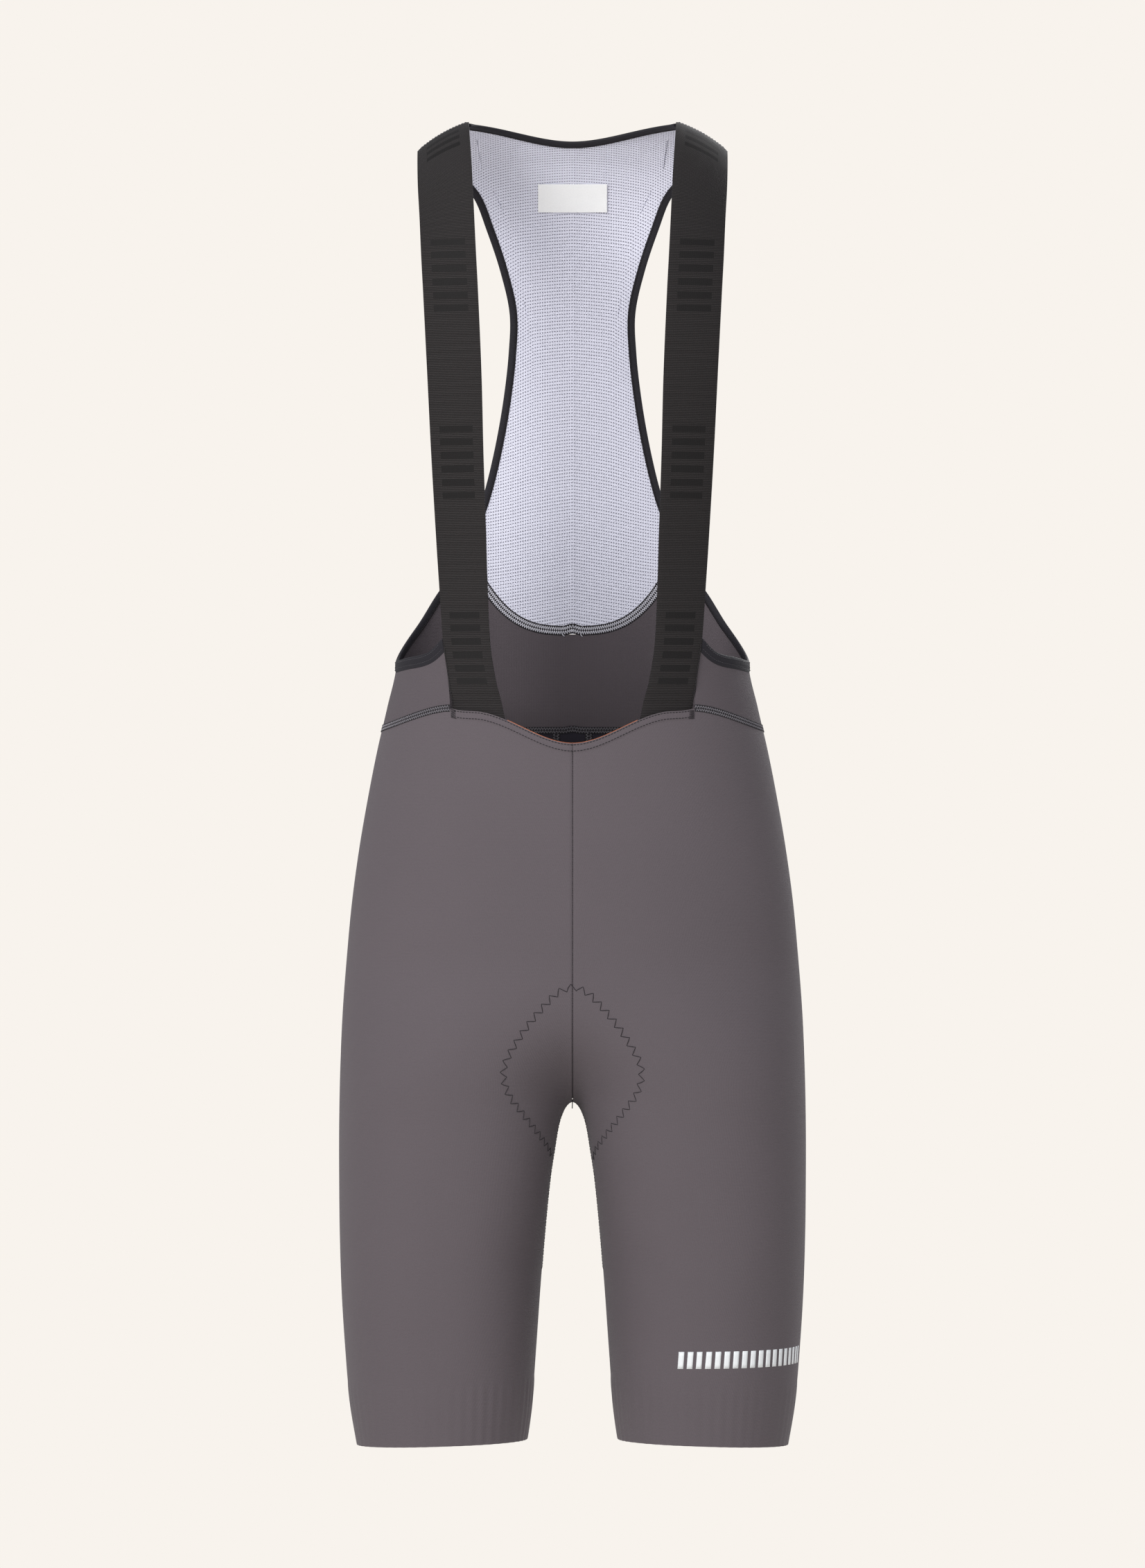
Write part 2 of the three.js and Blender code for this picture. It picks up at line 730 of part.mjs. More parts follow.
function bindingInside(u) {
  return fromEdge(armhole, u, bandWidth(u) + SEAM, ARMHOLE_HAND);
}

// The half width at which the mesh seam reaches the binding, and the binding's share there
function seamCorner(gap) {
  const track = steps(600, (u) => {
    const share = mix(SIDE_SHARE, 0.75, u);
    return { share, at: bindingInside(share).at };
  });
  let best = { distance: Infinity };
  for (const x of steps(200, (u) => mix(55, 80, u))) {
    const { at } = meshSeam(x, gap);
    for (const candidate of track) {
      const distance = candidate.at.distanceTo(at);
      if (distance < best.distance) best = { distance, x, share: candidate.share };
    }
  }
  return best;
}

// Back yoke: from the strap's outer edge under the arm and across the back

function yokeGrid() {
  const corner = seamCorner(-SEAM / 2);
  const start = bandStart(1, SEAM);
  const side = yokeSideShares(seamCorner(0).share).reverse().slice(1, -1);
  const top = [
    ...steps(DETAIL.yokeBack, (u) => meshSeam(corner.x * u, -SEAM / 2).at),
    ...side.map((share) => bindingInside(share).at),
    ...scoopShares(start).reverse().map((share) => bindingInside(share).at),
  ];
  const whole = (z) => distanceFromBack(z, strapOutside(z), -1);
  const columns = top.map((place) => {
    const facing = place.y > FORM.mid(place.z) ? 1 : -1;
    const x = clamp(place.x, 0, FORM.wide(place.z) - 0.01);
    const share = clamp(distanceFromBack(place.z, x, facing) / whole(place.z));
    const at = (z) => sectionPoint(z, sectionAt(z).length - share * whole(z));
    let low = YOKE_SEAM_BACK;
    for (let k = 0; k < 4; k++) low = topEdge(at(low));
    return steps(DETAIL.yokeRows, (u) => at(mix(low + SEAM, place.z, u)));
  });
  columns[0].forEach((point) => {
    point.at.x = 0;
    point.out.x = 0;
  });
  const half = columns[0].map((_, row) => columns.map((column) => column[row]));
  const flip = ({ at, out }) => clothPoint(-at.x, at.y, at.z, new THREE.Vector3(-out.x, out.y, out.z));
  return half.map((row) => [...row.slice(1).reverse().map(flip), ...row]);
}

// Mesh back: a patch stretched between the yoke seam, the two bindings and the shoulders

function meshGrid() {
  const corner = seamCorner(SEAM / 2);
  const neck = neckCurve();
  const seam = BAND_WIDTH.neck + SEAM;
  const outerX = RIDGE.halfWidth - BAND_WIDTH.armhole - SEAM;
  const topCorner = onShoulderSeam(outerX).at;
  const besideNeck = steps(DETAIL.neckRows / 2, (u) => (
    fromEdge(neck, mix(0.5, 1, u), seam, NECK_HAND).at));
  const onShoulder = steps(DETAIL.shoulderColumns, (u) => (
    onShoulderSeam(mix(besideNeck.at(-1).x, outerX, u)).at));
  const top = [...besideNeck, ...onShoulder.slice(1)];
  const rail = [
    meshSeam(corner.x, SEAM / 2).at,
    ...meshSideShares(seamCorner(0).share).slice(1, -1).map((share) => bindingInside(share).at),
    topCorner,
  ];
  const bottom = (u) => meshSeam(corner.x * u, SEAM / 2).at;
  const bottomEnd = bottom(1);
  const columns = top.length - 1;
  return steps(DETAIL.meshRows, (v, row) => steps(2 * columns, (_, k) => {
    const u = Math.abs(k - columns) / columns;
    const side = Math.sign(k - columns);
    const low = bottom(u);
    const high = top[Math.abs(k - columns)];
    const bow = rail[row].clone().sub(bottomEnd.clone().lerp(topCorner, v));
    const point = onBody(low.clone().lerp(high, v).addScaledVector(bow, u));
    point.at.x *= side;
    point.out.x *= side;
    return point;
  }));
}

// Straps: elastic webbing over the shoulder and down the front, tucked behind the front panel

function strapGrid() {
  const across = 4;
  const levels = [
    ...steps(DETAIL.strapRows, (u) => STRAP_TUCK.start * u ** 1.15),
    ...steps(DETAIL.tuckRows, (u) => mix(STRAP_TUCK.start, STRAP_TUCK.end, u)).slice(1),
    STRAP_TUCK.foot,
  ];
  const first = steps(across, (v) => {
    const x = mix(STRAP.inner(0), STRAP.outer(0), v);
    return shoulderPoint(x, turnFromDepth(x, SHOULDER_SEAM));
  });
  const rows = levels.map((level) => {
    const ridgeShare = 1 - smooth(-level / 100);
    return steps(across, (v) => {
      const x = mix(STRAP.inner(level), STRAP.outer(level), v);
      const z = level + ridgeAt(x) * ridgeShare;
      if (z > DOME_END) return shoulderPoint(x, turnFromHeight(x, z, -1) - 1e-6);
      return onBody(new THREE.Vector3(x, -depthAt(x, z, -1), z));
    });
  });
  return [first, ...rows];
}

function strapWall() {
  const tuck = (p) => STRAP_TUCK.depth * smooth(
    (p.at.z - STRAP_TUCK.start) / (STRAP_TUCK.end - STRAP_TUCK.start));
  const grid = strapGrid();
  const outer = grid.map((row) => row.map((p) => lifted(p, CLOTH.strap - tuck(p))));
  const inner = grid.map((row) => row.map((p) => lifted(p, -tuck(p))));
  return { outer, inner };
}

// Front facing: the narrow coloured tape just inside the neckline, between the straps

function facingWall() {
  const grid = steps(2, (v) => steps(20, (u) => {
    const x = mix(-FACING.half, FACING.half, u);
    const top = NECKLINE.middle + NECKLINE.rise * smooth(Math.abs(x) / NECKLINE.reach);
    const z = top - FACING.below - FACING.height * (1 - v);
    return onBody(new THREE.Vector3(x, -depthAt(x, z, -1), z));
  }));
  return sheetWall(grid, FACING.outer, CLOTH.facing);
}

// Label: a small blank rectangle on the inner face of the mesh

function labelWall() {
  const grid = steps(3, (v) => steps(6, (u) => {
    const x = mix(-LABEL.half, LABEL.half, u);
    const z = mix(LABEL.bottom, LABEL.top, v);
    return onBody(new THREE.Vector3(x, depthAt(x, z, 1) * 0.9, z));
  }));
  return sheetWall(grid, LABEL.outer, CLOTH.label);
}

// Seat pad: laid on the inner face of the panels, astride the crotch. It is traced in planes
// that stand square to the line down the middle of the body.

function padCentreLine() {
  const half = (facing, top) => steps(80, (u) => {
    const z = CROTCH + (top - CROTCH) * u ** 2.4;
    const section = sectionAt(z);
    return sectionPoint(z, facing < 0 ? 0 : section.length).at;
  });
  const front = half(-1, PAD.frontTop + 1).reverse();
  const back = half(1, PAD.backTop - 1);
  const line = edgeCurve([...front.slice(0, -1), ...back]);
  line.arcLengthDivisions = 1200;
  return line;
}

function outside(x, place) {
  const shape = shapeAt(place.z);
  return fieldAt(shape, localX(shape, x), place.y) > 1;
}

// Walks sideways over the cloth from a point of the middle line, to the pad's edge
function padTrack(centre, normal, facing) {
  const outline = facing < 0 ? PAD_FRONT : PAD_BACK;
  const track = [{ at: centre.clone(), length: 0 }];
  let depth = 0;
  for (let x = 0.5; x < 70; x += 0.5) {
    let low = depth - 2;
    let high = depth + 14;
    for (let k = 0; k < 22; k++) {
      const middle = (low + high) / 2;
      const place = centre.clone().addScaledVector(normal, middle);
      if (outside(x, place)) high = middle;
      else low = middle;
    }
    depth = (low + high) / 2;
    const at = centre.clone().addScaledVector(normal, depth).setX(x);
    const last = track.at(-1);
    track.push({ at, length: last.length + at.distanceTo(last.at) });
    if (x >= outline.half(at.z)) break;
  }
  return track;
}

function padGrid() {
  const line = padCentreLine();
  return steps(DETAIL.padRows, (s) => {
    const centre = line.getPointAt(s);
    const tangent = line.getTangentAt(s);
    const normal = new THREE.Vector3(0, tangent.z, -tangent.y).negate();
    if (normal.dot(formNormal(0.02, centre.y, centre.z)) < 0) normal.negate();
    const facing = centre.y < FORM.mid(centre.z) ? -1 : 1;
    const track = padTrack(centre, normal, facing);
    const total = track.at(-1).length;
    return steps(DETAIL.padColumns, (v) => {
      const side = Math.sign(2 * v - 1);
      const distance = total * Math.abs(2 * v - 1) ** PAD.crowding;
      const k = Math.max(1, track.findIndex((step) => step.length >= distance - 1e-6));
      const before = track[k - 1];
      const after = track[k];
      const t = (distance - before.length) / (after.length - before.length);
      const at = before.at.clone().lerp(after.at, t);
      const out = formNormal(Math.max(at.x, 0.02), at.y, at.z);
      const fromEnds = line.getLength() * Math.min(s, 1 - s);
      const margin = Math.min(total - distance, fromEnds);
      const thick = mix(PAD.edge, PAD.middle, smooth(margin / PAD.softEdge));
      at.x *= side;
      out.x *= side;
      return { at, out, thick };
    });
  });
}

function padWall() {
  const outer = -CLOTH.body - PAD.clearance;
  const grid = padGrid();
  return wall(
    grid.map((row) => row.map((p) => lifted(p, outer))),
    grid.map((row) => row.map((p) => lifted(p, outer - p.thick))),
  );
}

// Materials

function cloth(color, roughness) {
  return new THREE.MeshStandardMaterial({ color, roughness, metalness: 0, side: THREE.DoubleSide });
}

const MATERIALS = {
  knit: cloth(0x63595d, 0.85),
  darkKnit: cloth(0x2a272e, 0.85),
  webbing: cloth(0x241f1e, 0.8),
  mesh: cloth(0xcdccdc, 0.9),
  binding: cloth(0x1d1c23, 0.75),
  facing: cloth(0xb0643c, 0.6),
  label: cloth(0xf4f3f1, 0.7),
  pad: cloth(0x3a3638, 0.95),
};

// The garment

const garment = new THREE.Group();

function add(name, geometry, material) {
  const mesh = new THREE.Mesh(geometry, material);
  mesh.name = name;
  garment.add(mesh);
}

// A piece and its mirror image; the wearer's left is +X
function addPair(name, outer, inner, material) {
  add(`${name}_left`, wall(outer, inner), material);
  add(`${name}_right`, wall(mirrored(outer), mirrored(inner)), material);
}

const leg = legPanel();
addPair('leg', leg.outer, leg.inner, MATERIALS.knit);
add('seat_strip', seatStrip(leg.outer), MATERIALS.darkKnit);
add('back_yoke', sheetWall(yokeGrid(), 0, CLOTH.body), MATERIALS.knit);
add('mesh_back', sheetWall(meshGrid(), 0, CLOTH.mesh), MATERIALS.mesh);

const strap = strapWall();
addPair('strap', strap.outer, strap.inner, MATERIALS.webbing);

const scoop = bandRows(scoopBand());
addPair('scoop_band', scoop.outer, scoop.inner, MATERIALS.binding);
const binding = bandRows(armholeBinding());
addPair('armhole_binding', binding.outer, binding.inner, MATERIALS.binding);
const neck = bandRows(neckBinding());
add('neck_binding', wall(neck.outer, neck.inner), MATERIALS.binding);
add('front_facing', facingWall(), MATERIALS.facing);
add('back_label', labelWall(), MATERIALS.label);
add('seat_pad', padWall(), MATERIALS.pad);

export default garment;
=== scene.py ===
"""Cycling bib shorts in worn form: knit panels, mesh back, webbing straps and their sewing."""

import bpy
import numpy as np
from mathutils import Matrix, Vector


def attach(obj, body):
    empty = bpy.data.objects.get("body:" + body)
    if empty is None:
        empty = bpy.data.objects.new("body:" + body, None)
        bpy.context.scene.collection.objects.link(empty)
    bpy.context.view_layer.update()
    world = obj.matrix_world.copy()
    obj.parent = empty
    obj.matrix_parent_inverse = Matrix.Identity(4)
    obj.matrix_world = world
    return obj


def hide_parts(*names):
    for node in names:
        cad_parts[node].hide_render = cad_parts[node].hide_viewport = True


bl_info = {
    "name": "Cycling bib shorts",
    "version": (1, 0, 0),
    "blender": (4, 5, 0),
    "location": "3D View > Sidebar > Bib shorts",
    "description": "Cloth, sewing and studio for a pair of cycling bib shorts",
    "category": "Object",
}

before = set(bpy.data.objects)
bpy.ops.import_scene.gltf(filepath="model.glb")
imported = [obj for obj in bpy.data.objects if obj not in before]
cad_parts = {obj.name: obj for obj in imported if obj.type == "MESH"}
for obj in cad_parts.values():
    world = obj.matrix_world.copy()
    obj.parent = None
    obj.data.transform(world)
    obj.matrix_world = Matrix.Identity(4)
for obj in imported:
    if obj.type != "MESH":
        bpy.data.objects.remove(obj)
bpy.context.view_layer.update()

# The form of the body. All sizes here are in millimetres, as in the part's source.

MM = 0.001
ROUND = 2.25
SEAM = 0.3
CROTCH = -705.5
DOME_END = -330
RIDGE = {"top": 7, "fall": 28, "half": 111, "power": 3.477}
DOME = {"front": 110, "back": 90}
SADDLE = {"opening": 5.8, "below": 120, "above": 200, "lobes": 110}
SPREAD = {"limit": 0.75, "sharpest": 6, "height": 160}
STRIP = {"half": 12, "start": 12, "taper": 70}
STRAP_TUCK = {"start": -404, "end": -421.5, "depth": 3.2, "foot": -432.5}
NECKLINE = {"middle": -447.5, "rise": 23, "reach": 72}
BACK_NECK = {"dip": 9.2, "reach": 72, "corner": 70}
MESH_SEAM = {"middle": -367, "rise": 30.4, "reach": 61.8, "bow": 2.6}
HEM = {"z": -950.3, "x": 94, "tilt_x": -0.032, "tilt_y": -0.02}
YOKE_SEAM_BACK = -437.2
SHOULDER_SEAM = 4
STRAP_LAP = 2.6
WEBBING = {"width": 37.5, "lift": 1.4, "lap_rise": 0.5, "edge_drop": 0.35, "soft_edge": 0.9}
FACING = {"half": 46.5, "width": 8, "above": 0.3, "inside": 1.6}
LABEL = {"half": 25.3, "low": -57.3, "high": -37.3, "inside": 1.5}
BANDS = {"scoop": 8, "armhole": 5, "neck": 5.5}
SAMPLES = 180


def curve_through(keys, values):
    """A cubic curve through the rows, level beyond its ends."""
    keys, values = np.array(keys, float), np.array(values, float)
    last = len(keys) - 1
    before = np.maximum(np.arange(last + 1) - 1, 0)
    after = np.minimum(np.arange(last + 1) + 1, last)
    slope = (values[after] - values[before]) / (keys[after] - keys[before])

    def at(key):
        key = np.clip(key, keys[0], keys[-1])
        i = np.clip(np.searchsorted(keys, key, side="right") - 1, 0, last - 1)
        span = keys[i + 1] - keys[i]
        t = (key - keys[i]) / span
        t2, t3 = t * t, t * t * t
        return (values[i] * (2 * t3 - 3 * t2 + 1) + values[i + 1] * (3 * t2 - 2 * t3)
                + span * (slope[i] * (t3 - 2 * t2 + t) + slope[i + 1] * (t3 - t2)))

    return at


def table(names, rows):
    columns = list(zip(*rows))
    return {name: curve_through(columns[0], column)
            for name, column in zip(names[1:], columns[1:])}


FORM = table(["z", "wide", "front", "back", "mid"], [
    (-956, 154.6, 69, 65, -2),
    (-921, 160.5, 73, 68, -2),
    (-881, 164, 77, 73, -2),
    (-841, 166.5, 82, 79, -1),
    (-801, 167.8, 87, 86, 0),
    (-761, 168.3, 91, 94, 1),
    (-721, 168.3, 95, 102, 2),
    (-681, 167.5, 99, 111, 2),
    (-641, 165.8, 101, 118, 2),
    (-601, 162.8, 102, 121, 2),
    (-561, 159, 101, 117, 1),
    (-521, 153.5, 99, 108, 0),
    (-481, 146.5, 97, 97, 0),
    (-451, 140.5, 95.5, 90, 0),
    (-421, 133.5, 94, 85.5, 0),
    (-391, 127, 93, 83, 0),
    (-351, 127.5, 93, 82, 0),
    (-301, 132, 96, 84, 0),
    (-251, 141, 101, 89, 0),
    (-201, 152, 106, 95, 0),
    (-151, 162, 108, 99, 0),
    (-101, 168, 104, 98, 0),
    (-51, 172, 92, 94, 0),
    (0, 174, 80, 88, 0),
])
HALF_GAP_SQUARED = curve_through(
    [-956, -941, -921, -881, -841, -801, -761, -741, -721, CROTCH],
    [gap ** 2 for gap in (34, 31.5, 29, 26, 23.2, 20, 16, 13, 9.5, 0)])
STRAP = table(["z", "inner", "outer"], [
    (-432.5, 47.9, 84.8),
    (-425.8, 49.3, 86.2),
    (-402.1, 54.4, 88.1),
    (-377.4, 58.2, 91.5),
    (-333.2, 60.3, 94.6),
    (-303.7, 61.1, 96.5),
    (-244.8, 63, 99.9),
    (-185.8, 64.4, 102.8),
    (-126.7, 66.9, 105.8),
    (-96.7, 68.5, 107.4),
    (-66, 70.1, 108.7),
    (-34.6, 71.9, 110.1),
    (0, 74.5, 111),
])
YOKE_SEAM = curve_through(
    [72, 80, 88, 98, 110.7, 133, 140],
    [-424.5, -423.9, -422.6, -423.9, -427.4, -435.2, -437.3])
SCOOP_EDGE = [
    (-96, -359), (-88, -366), (-80, -372.7), (-67, -382.2), (-43.5, -385.8),
    (0, -387), (19.2, -380), (46, -361), (67.7, -337),
]
ARMHOLE_EDGE = [
    (83.6, -317), (75, -292.6), (67.3, -272.3), (61.8, -253), (55.2, -222.7),
    (50.2, -192.3), (46.8, -161), (46.1, -132), (52.8, -101.5), (62.8, -71.5),
    (72.5, -48), (88, -33), (98, -26), (107.5, -20),
]
PAD_FRONT = curve_through(
    [-760, -740, -728, -708, -697, -685, -674, -657, -644.5, -634, -625, -621],
    [14, 16, 23, 38, 45.5, 49, 47.5, 38, 29, 20, 11, 3])
PAD_BACK = curve_through(
    [-760, -740, -720, -700, -680, -655, -635, -615, -601, -594, -591],
    [14, 16, 30, 46, 57, 62, 60, 50, 34, 18, 5])


def smooth(t):
    t = np.clip(t, 0, 1)
    return t * t * (3 - 2 * t)


def mix(a, b, t):
    return a + (b - a) * t


def signed_power(value, power):
    return np.sign(value) * np.abs(value) ** power


def unit(vectors):
    return vectors / np.maximum(np.linalg.norm(vectors, axis=-1, keepdims=True), 1e-12)


def stack(x, y, z):
    return np.stack(np.broadcast_arrays(x, y, z), axis=-1).astype(float)


# Sections of the lower body: one outline above the crotch, and one for each leg below it

def shape_at(z):
    h = z - CROTCH
    wide = FORM["wide"](z)
    gap = np.sqrt(np.maximum(0, HALF_GAP_SQUARED(z)))
    soft = gap * (1 - smooth(-h / SADDLE["below"]))
    leg = h <= 0
    shift = np.where(leg, gap - soft, 0)
    pinch = np.where(leg, -soft * soft,
                     SADDLE["opening"] * h * (1 - smooth(h / SADDLE["above"])))
    lobe = np.where(leg, 1, 1 - smooth(h / SADDLE["lobes"]))
    half = np.sqrt((wide - shift) ** 2 + pinch) / (1 + lobe)
    return {"front": FORM["front"](z), "back": FORM["back"](z), "mid": FORM["mid"](z),
            "shift": shift, "pinch": pinch, "half": half, "centre": lobe * half}


def local_x(shape, x):
    square = (x - shape["shift"]) ** 2 + shape["pinch"]
    return signed_power(square, 0.5)


def field_at(shape, local, y):
    depth = np.where(y < shape["mid"], shape["front"], shape["back"])
    return (np.abs((local - shape["centre"]) / shape["half"]) ** ROUND
            + np.abs((y - shape["mid"]) / depth) ** ROUND)


def form_normal(x, y, z):
    step = 0.05
    side = np.maximum(x, 0.01)
    shape, above, below = shape_at(z), shape_at(z + step), shape_at(z - step)
    local = local_x(shape, side)
    depth = np.where(y < shape["mid"], shape["front"], shape["back"])
    slope_local = (ROUND * signed_power(local - shape["centre"], ROUND - 1)
                   / shape["half"] ** ROUND)
    slope_y = ROUND * signed_power(y - shape["mid"], ROUND - 1) / depth ** ROUND
    shift_slope = (above["shift"] - below["shift"]) / (2 * step)
    pinch_slope = (above["pinch"] - below["pinch"]) / (2 * step)
    field_slope = (field_at(above, local, y) - field_at(below, local, y)) / (2 * step)
    reach = side - shape["shift"]
    return unit(stack(
        slope_local * reach,
        local * slope_y,
        slope_local * (pinch_slope / 2 - reach * shift_slope) + local * field_slope))


def outline(shape, u):
    start = (shape["centre"] - np.sqrt(np.maximum(0, shape["pinch"]))) / shape["half"]
    first = np.arccos(np.clip(signed_power(start, ROUND / 2), -1, 1))
    angle = first + (2 * np.pi - 2 * first) * (1 - np.cos(np.pi * u)) / 2
    local = shape["centre"] - shape["half"] * signed_power(np.cos(angle), 2 / ROUND)
    sine = signed_power(np.sin(angle), 2 / ROUND)
    x = shape["shift"] + np.sqrt(np.maximum(0, local ** 2 - shape["pinch"]))
    return x, shape["mid"] - sine * np.where(sine > 0, shape["front"], shape["back"])


def section_lengths(z):
    """The distance round each section at evenly numbered stations, a row for each height."""
    shape = {key: value[:, None] for key, value in shape_at(z).items()}
    x, y = outline(shape, np.linspace(0, 1, SAMPLES + 1)[None, :])
    pieces = np.hypot(np.diff(x, axis=1), np.diff(y, axis=1))
    return np.concatenate([np.zeros((len(z), 1)), np.cumsum(pieces, axis=1)], axis=1), x


def in_chunks(function, size=4000):
    """Runs a function of equally long arrays a few thousand rows at a time."""
    def run(*arrays):
        arrays = np.broadcast_arrays(*[np.asarray(a, float) for a in arrays])
        shape = arrays[0].shape
        flat = [a.reshape(-1) for a in arrays]
        parts = [function(*[a[i:i + size] for a in flat])
                 for i in range(0, len(flat[0]), size)]
        joined = [np.concatenate(values) for values in zip(*parts)]
        return tuple(v.reshape(shape + v.shape[1:]) for v in joined)
    return run


@in_chunks
def section_sizes(z):
    lengths, _ = section_lengths(z)
    return lengths[:, -1], lengths[:, SAMPLES // 2]


@in_chunks
def section_point(z, distance):
    lengths, _ = section_lengths(z)
    row = np.arange(len(z))
    k = np.clip((lengths[:, 1:] < distance[:, None]).sum(axis=1), 0, SAMPLES - 1)
    low, high = lengths[row, k], lengths[row, k + 1]
    t = np.clip((distance - low) / np.maximum(high - low, 1e-9), 0, 1)
    x, y = outline(shape_at(z), (k + t) / SAMPLES)
    return stack(x, y, z), form_normal(x, y, z)


@in_chunks
def distance_from_back(z, x, facing):
    """The distance round a section from its back middle to the point at x, front or back."""
    lengths, place = section_lengths(z)
    row = np.arange(len(z))
    reach = place >= x[:, None]
    front = np.maximum(np.argmax(reach[:, 1:], axis=1) + 1, 1)
    back = SAMPLES - 1 - np.argmax(reach[:, -2::-1], axis=1)
    k = np.where(facing > 0, back, front)
    before = np.where(facing > 0, k + 1, k - 1)
    span = place[row, k] - place[row, before]
    t = (x - place[row, before]) / np.where(np.abs(span) < 1e-9, 1e-9, span)
    return (lengths[:, -1] - mix(lengths[row, before], lengths[row, k], t),)


def strip_half(z):
    return STRIP["half"] * smooth((z - CROTCH) / STRIP["taper"])


def neckline_height(x):
    return NECKLINE["middle"] + NECKLINE["rise"] * smooth(np.abs(x) / NECKLINE["reach"])


def top_edge(at):
    x = np.abs(at[..., 0])
    front = np.where(x < NECKLINE["reach"], neckline_height(x), YOKE_SEAM(x))
    return np.where(at[..., 1] > 0, YOKE_SEAM_BACK, front)


def hem_edge(at):
    return HEM["z"] + HEM["tilt_x"] * (at[..., 0] - HEM["x"]) + HEM["tilt_y"] * at[..., 1]


def panel_distance(z, t):
    """How far round a section a leg panel's column lies, and where its outer side is."""
    length, front_length = section_sizes(z)
    (crotch_length,), (crotch_front,) = section_sizes(np.array([CROTCH]))
    low = mix(SEAM / 2, length - SEAM / 2, t)
    place = t * (crotch_length - SEAM) - crotch_front + SEAM / 2
    in_front = place < 0
    beside = smooth((z - CROTCH - STRIP["start"] + 4) / 4)
    back_margin = SEAM / 2 + (strip_half(z) + SEAM / 2) * beside
    reach = np.where(in_front, front_length - SEAM / 2, length - front_length - back_margin)
    full = np.where(in_front, crotch_front, crotch_length - crotch_front) - SEAM / 2
    sharp = np.clip(SPREAD["limit"] * full / np.maximum(full - reach, 1e-6), 1,
                    SPREAD["sharpest"])
    power = mix(sharp, 1, smooth((z - CROTCH) / SPREAD["height"]))
    share = np.abs(place) / full
    from_side = np.abs(place) - (full - reach) * share ** power
    high = front_length + np.sign(place) * from_side
    return np.where(z > CROTCH, high, low), front_length


def panel_point(z, t):
    """A leg panel's point at a height and at a share of the way round, from front to back."""
    at, out = section_point(z, panel_distance(z, t)[0])
    at[..., 0] = np.maximum(at[..., 0], SEAM / 2)
    return at, out


def settle(t, guess, edge):
    z = np.full_like(t, guess)
    for _ in range(4):
        z = edge(panel_point(z, t)[0])
    return z


def panel_heights(t, limit, shares, grading, crowding, steps=44):
    """Heights up or down the columns of a panel from the crotch, spaced evenly on the cloth."""
    u = np.linspace(0, 1, steps + 1)
    heights = CROTCH + (limit[:, None] - CROTCH) * u[None, :] ** grading
    at, _ = panel_point(heights, np.broadcast_to(t[:, None], heights.shape))
    pieces = np.linalg.norm(np.diff(at, axis=1), axis=-1)
    lengths = np.concatenate([np.zeros((len(t), 1)), np.cumsum(pieces, axis=1)], axis=1)
    where = np.stack([np.interp(row[-1] * shares ** crowding, row, u) for row in lengths])
    return CROTCH + (limit[:, None] - CROTCH) * where ** grading


# The upper body: the same sections, rounded over into the shoulders

def ridge_at(x):
    return RIDGE["top"] - RIDGE["fall"] * (np.abs(x) / RIDGE["half"]) ** RIDGE["power"]


def depth_at(x, z, facing):
    depth = np.where(facing < 0, FORM["front"](z), FORM["back"](z))
    inside = 1 - np.abs(x / FORM["wide"](z)) ** ROUND
    return depth * np.maximum(0, inside) ** (1 / ROUND)


def shoulder_place(x, turn):
    facing = np.where(turn < 0, -1, 1)
    q = np.abs(turn)
    dome = np.where(turn < 0, DOME["front"], DOME["back"])
    drop = np.where(q < 1, dome * (1 - np.cos(np.minimum(q, 1) * np.pi / 2)),
                    dome * (1 + (q - 1) * np.pi / 2))
    z = ridge_at(x) - drop
    roundness = np.where(q < 1, np.sin(np.minimum(q, 1) * np.pi / 2), 1)
    return stack(x, facing * roundness * depth_at(x, z, facing), z)


def shoulder_point(x, turn):
    across = shoulder_place(x + 0.2, turn) - shoulder_place(x - 0.2, turn)
    down = shoulder_place(x, turn + 0.002) - shoulder_place(x, turn - 0.002)
    out = unit(np.cross(down, across))
    at = shoulder_place(x, turn)
    flip = out[..., 0] * at[..., 0] + out[..., 1] * at[..., 1] + out[..., 2] * 60 < 0
    return at, np.where(flip[..., None], -out, out)


def turn_from_height(x, z, facing):
    dome = np.where(facing < 0, DOME["front"], DOME["back"])
    drop = np.maximum(0, ridge_at(x) - z) / dome
    curved = np.arccos(np.clip(1 - np.minimum(drop, 1), -1, 1)) / (np.pi / 2)
    return facing * np.where(drop > 1, 1 + (drop - 1) / (np.pi / 2), curved)


def turn_from_depth(x, y, z=0.0):
    share = np.abs(y) / np.maximum(depth_at(x, z, y), 1e-9)
    return np.sign(y) * np.arcsin(np.clip(share, 0, 1)) / (np.pi / 2)


def on_shoulder_seam(x):
    x = np.asarray(x, float)
    return shoulder_point(x, turn_from_depth(x, np.full_like(x, SHOULDER_SEAM + 1.5 * SEAM)))


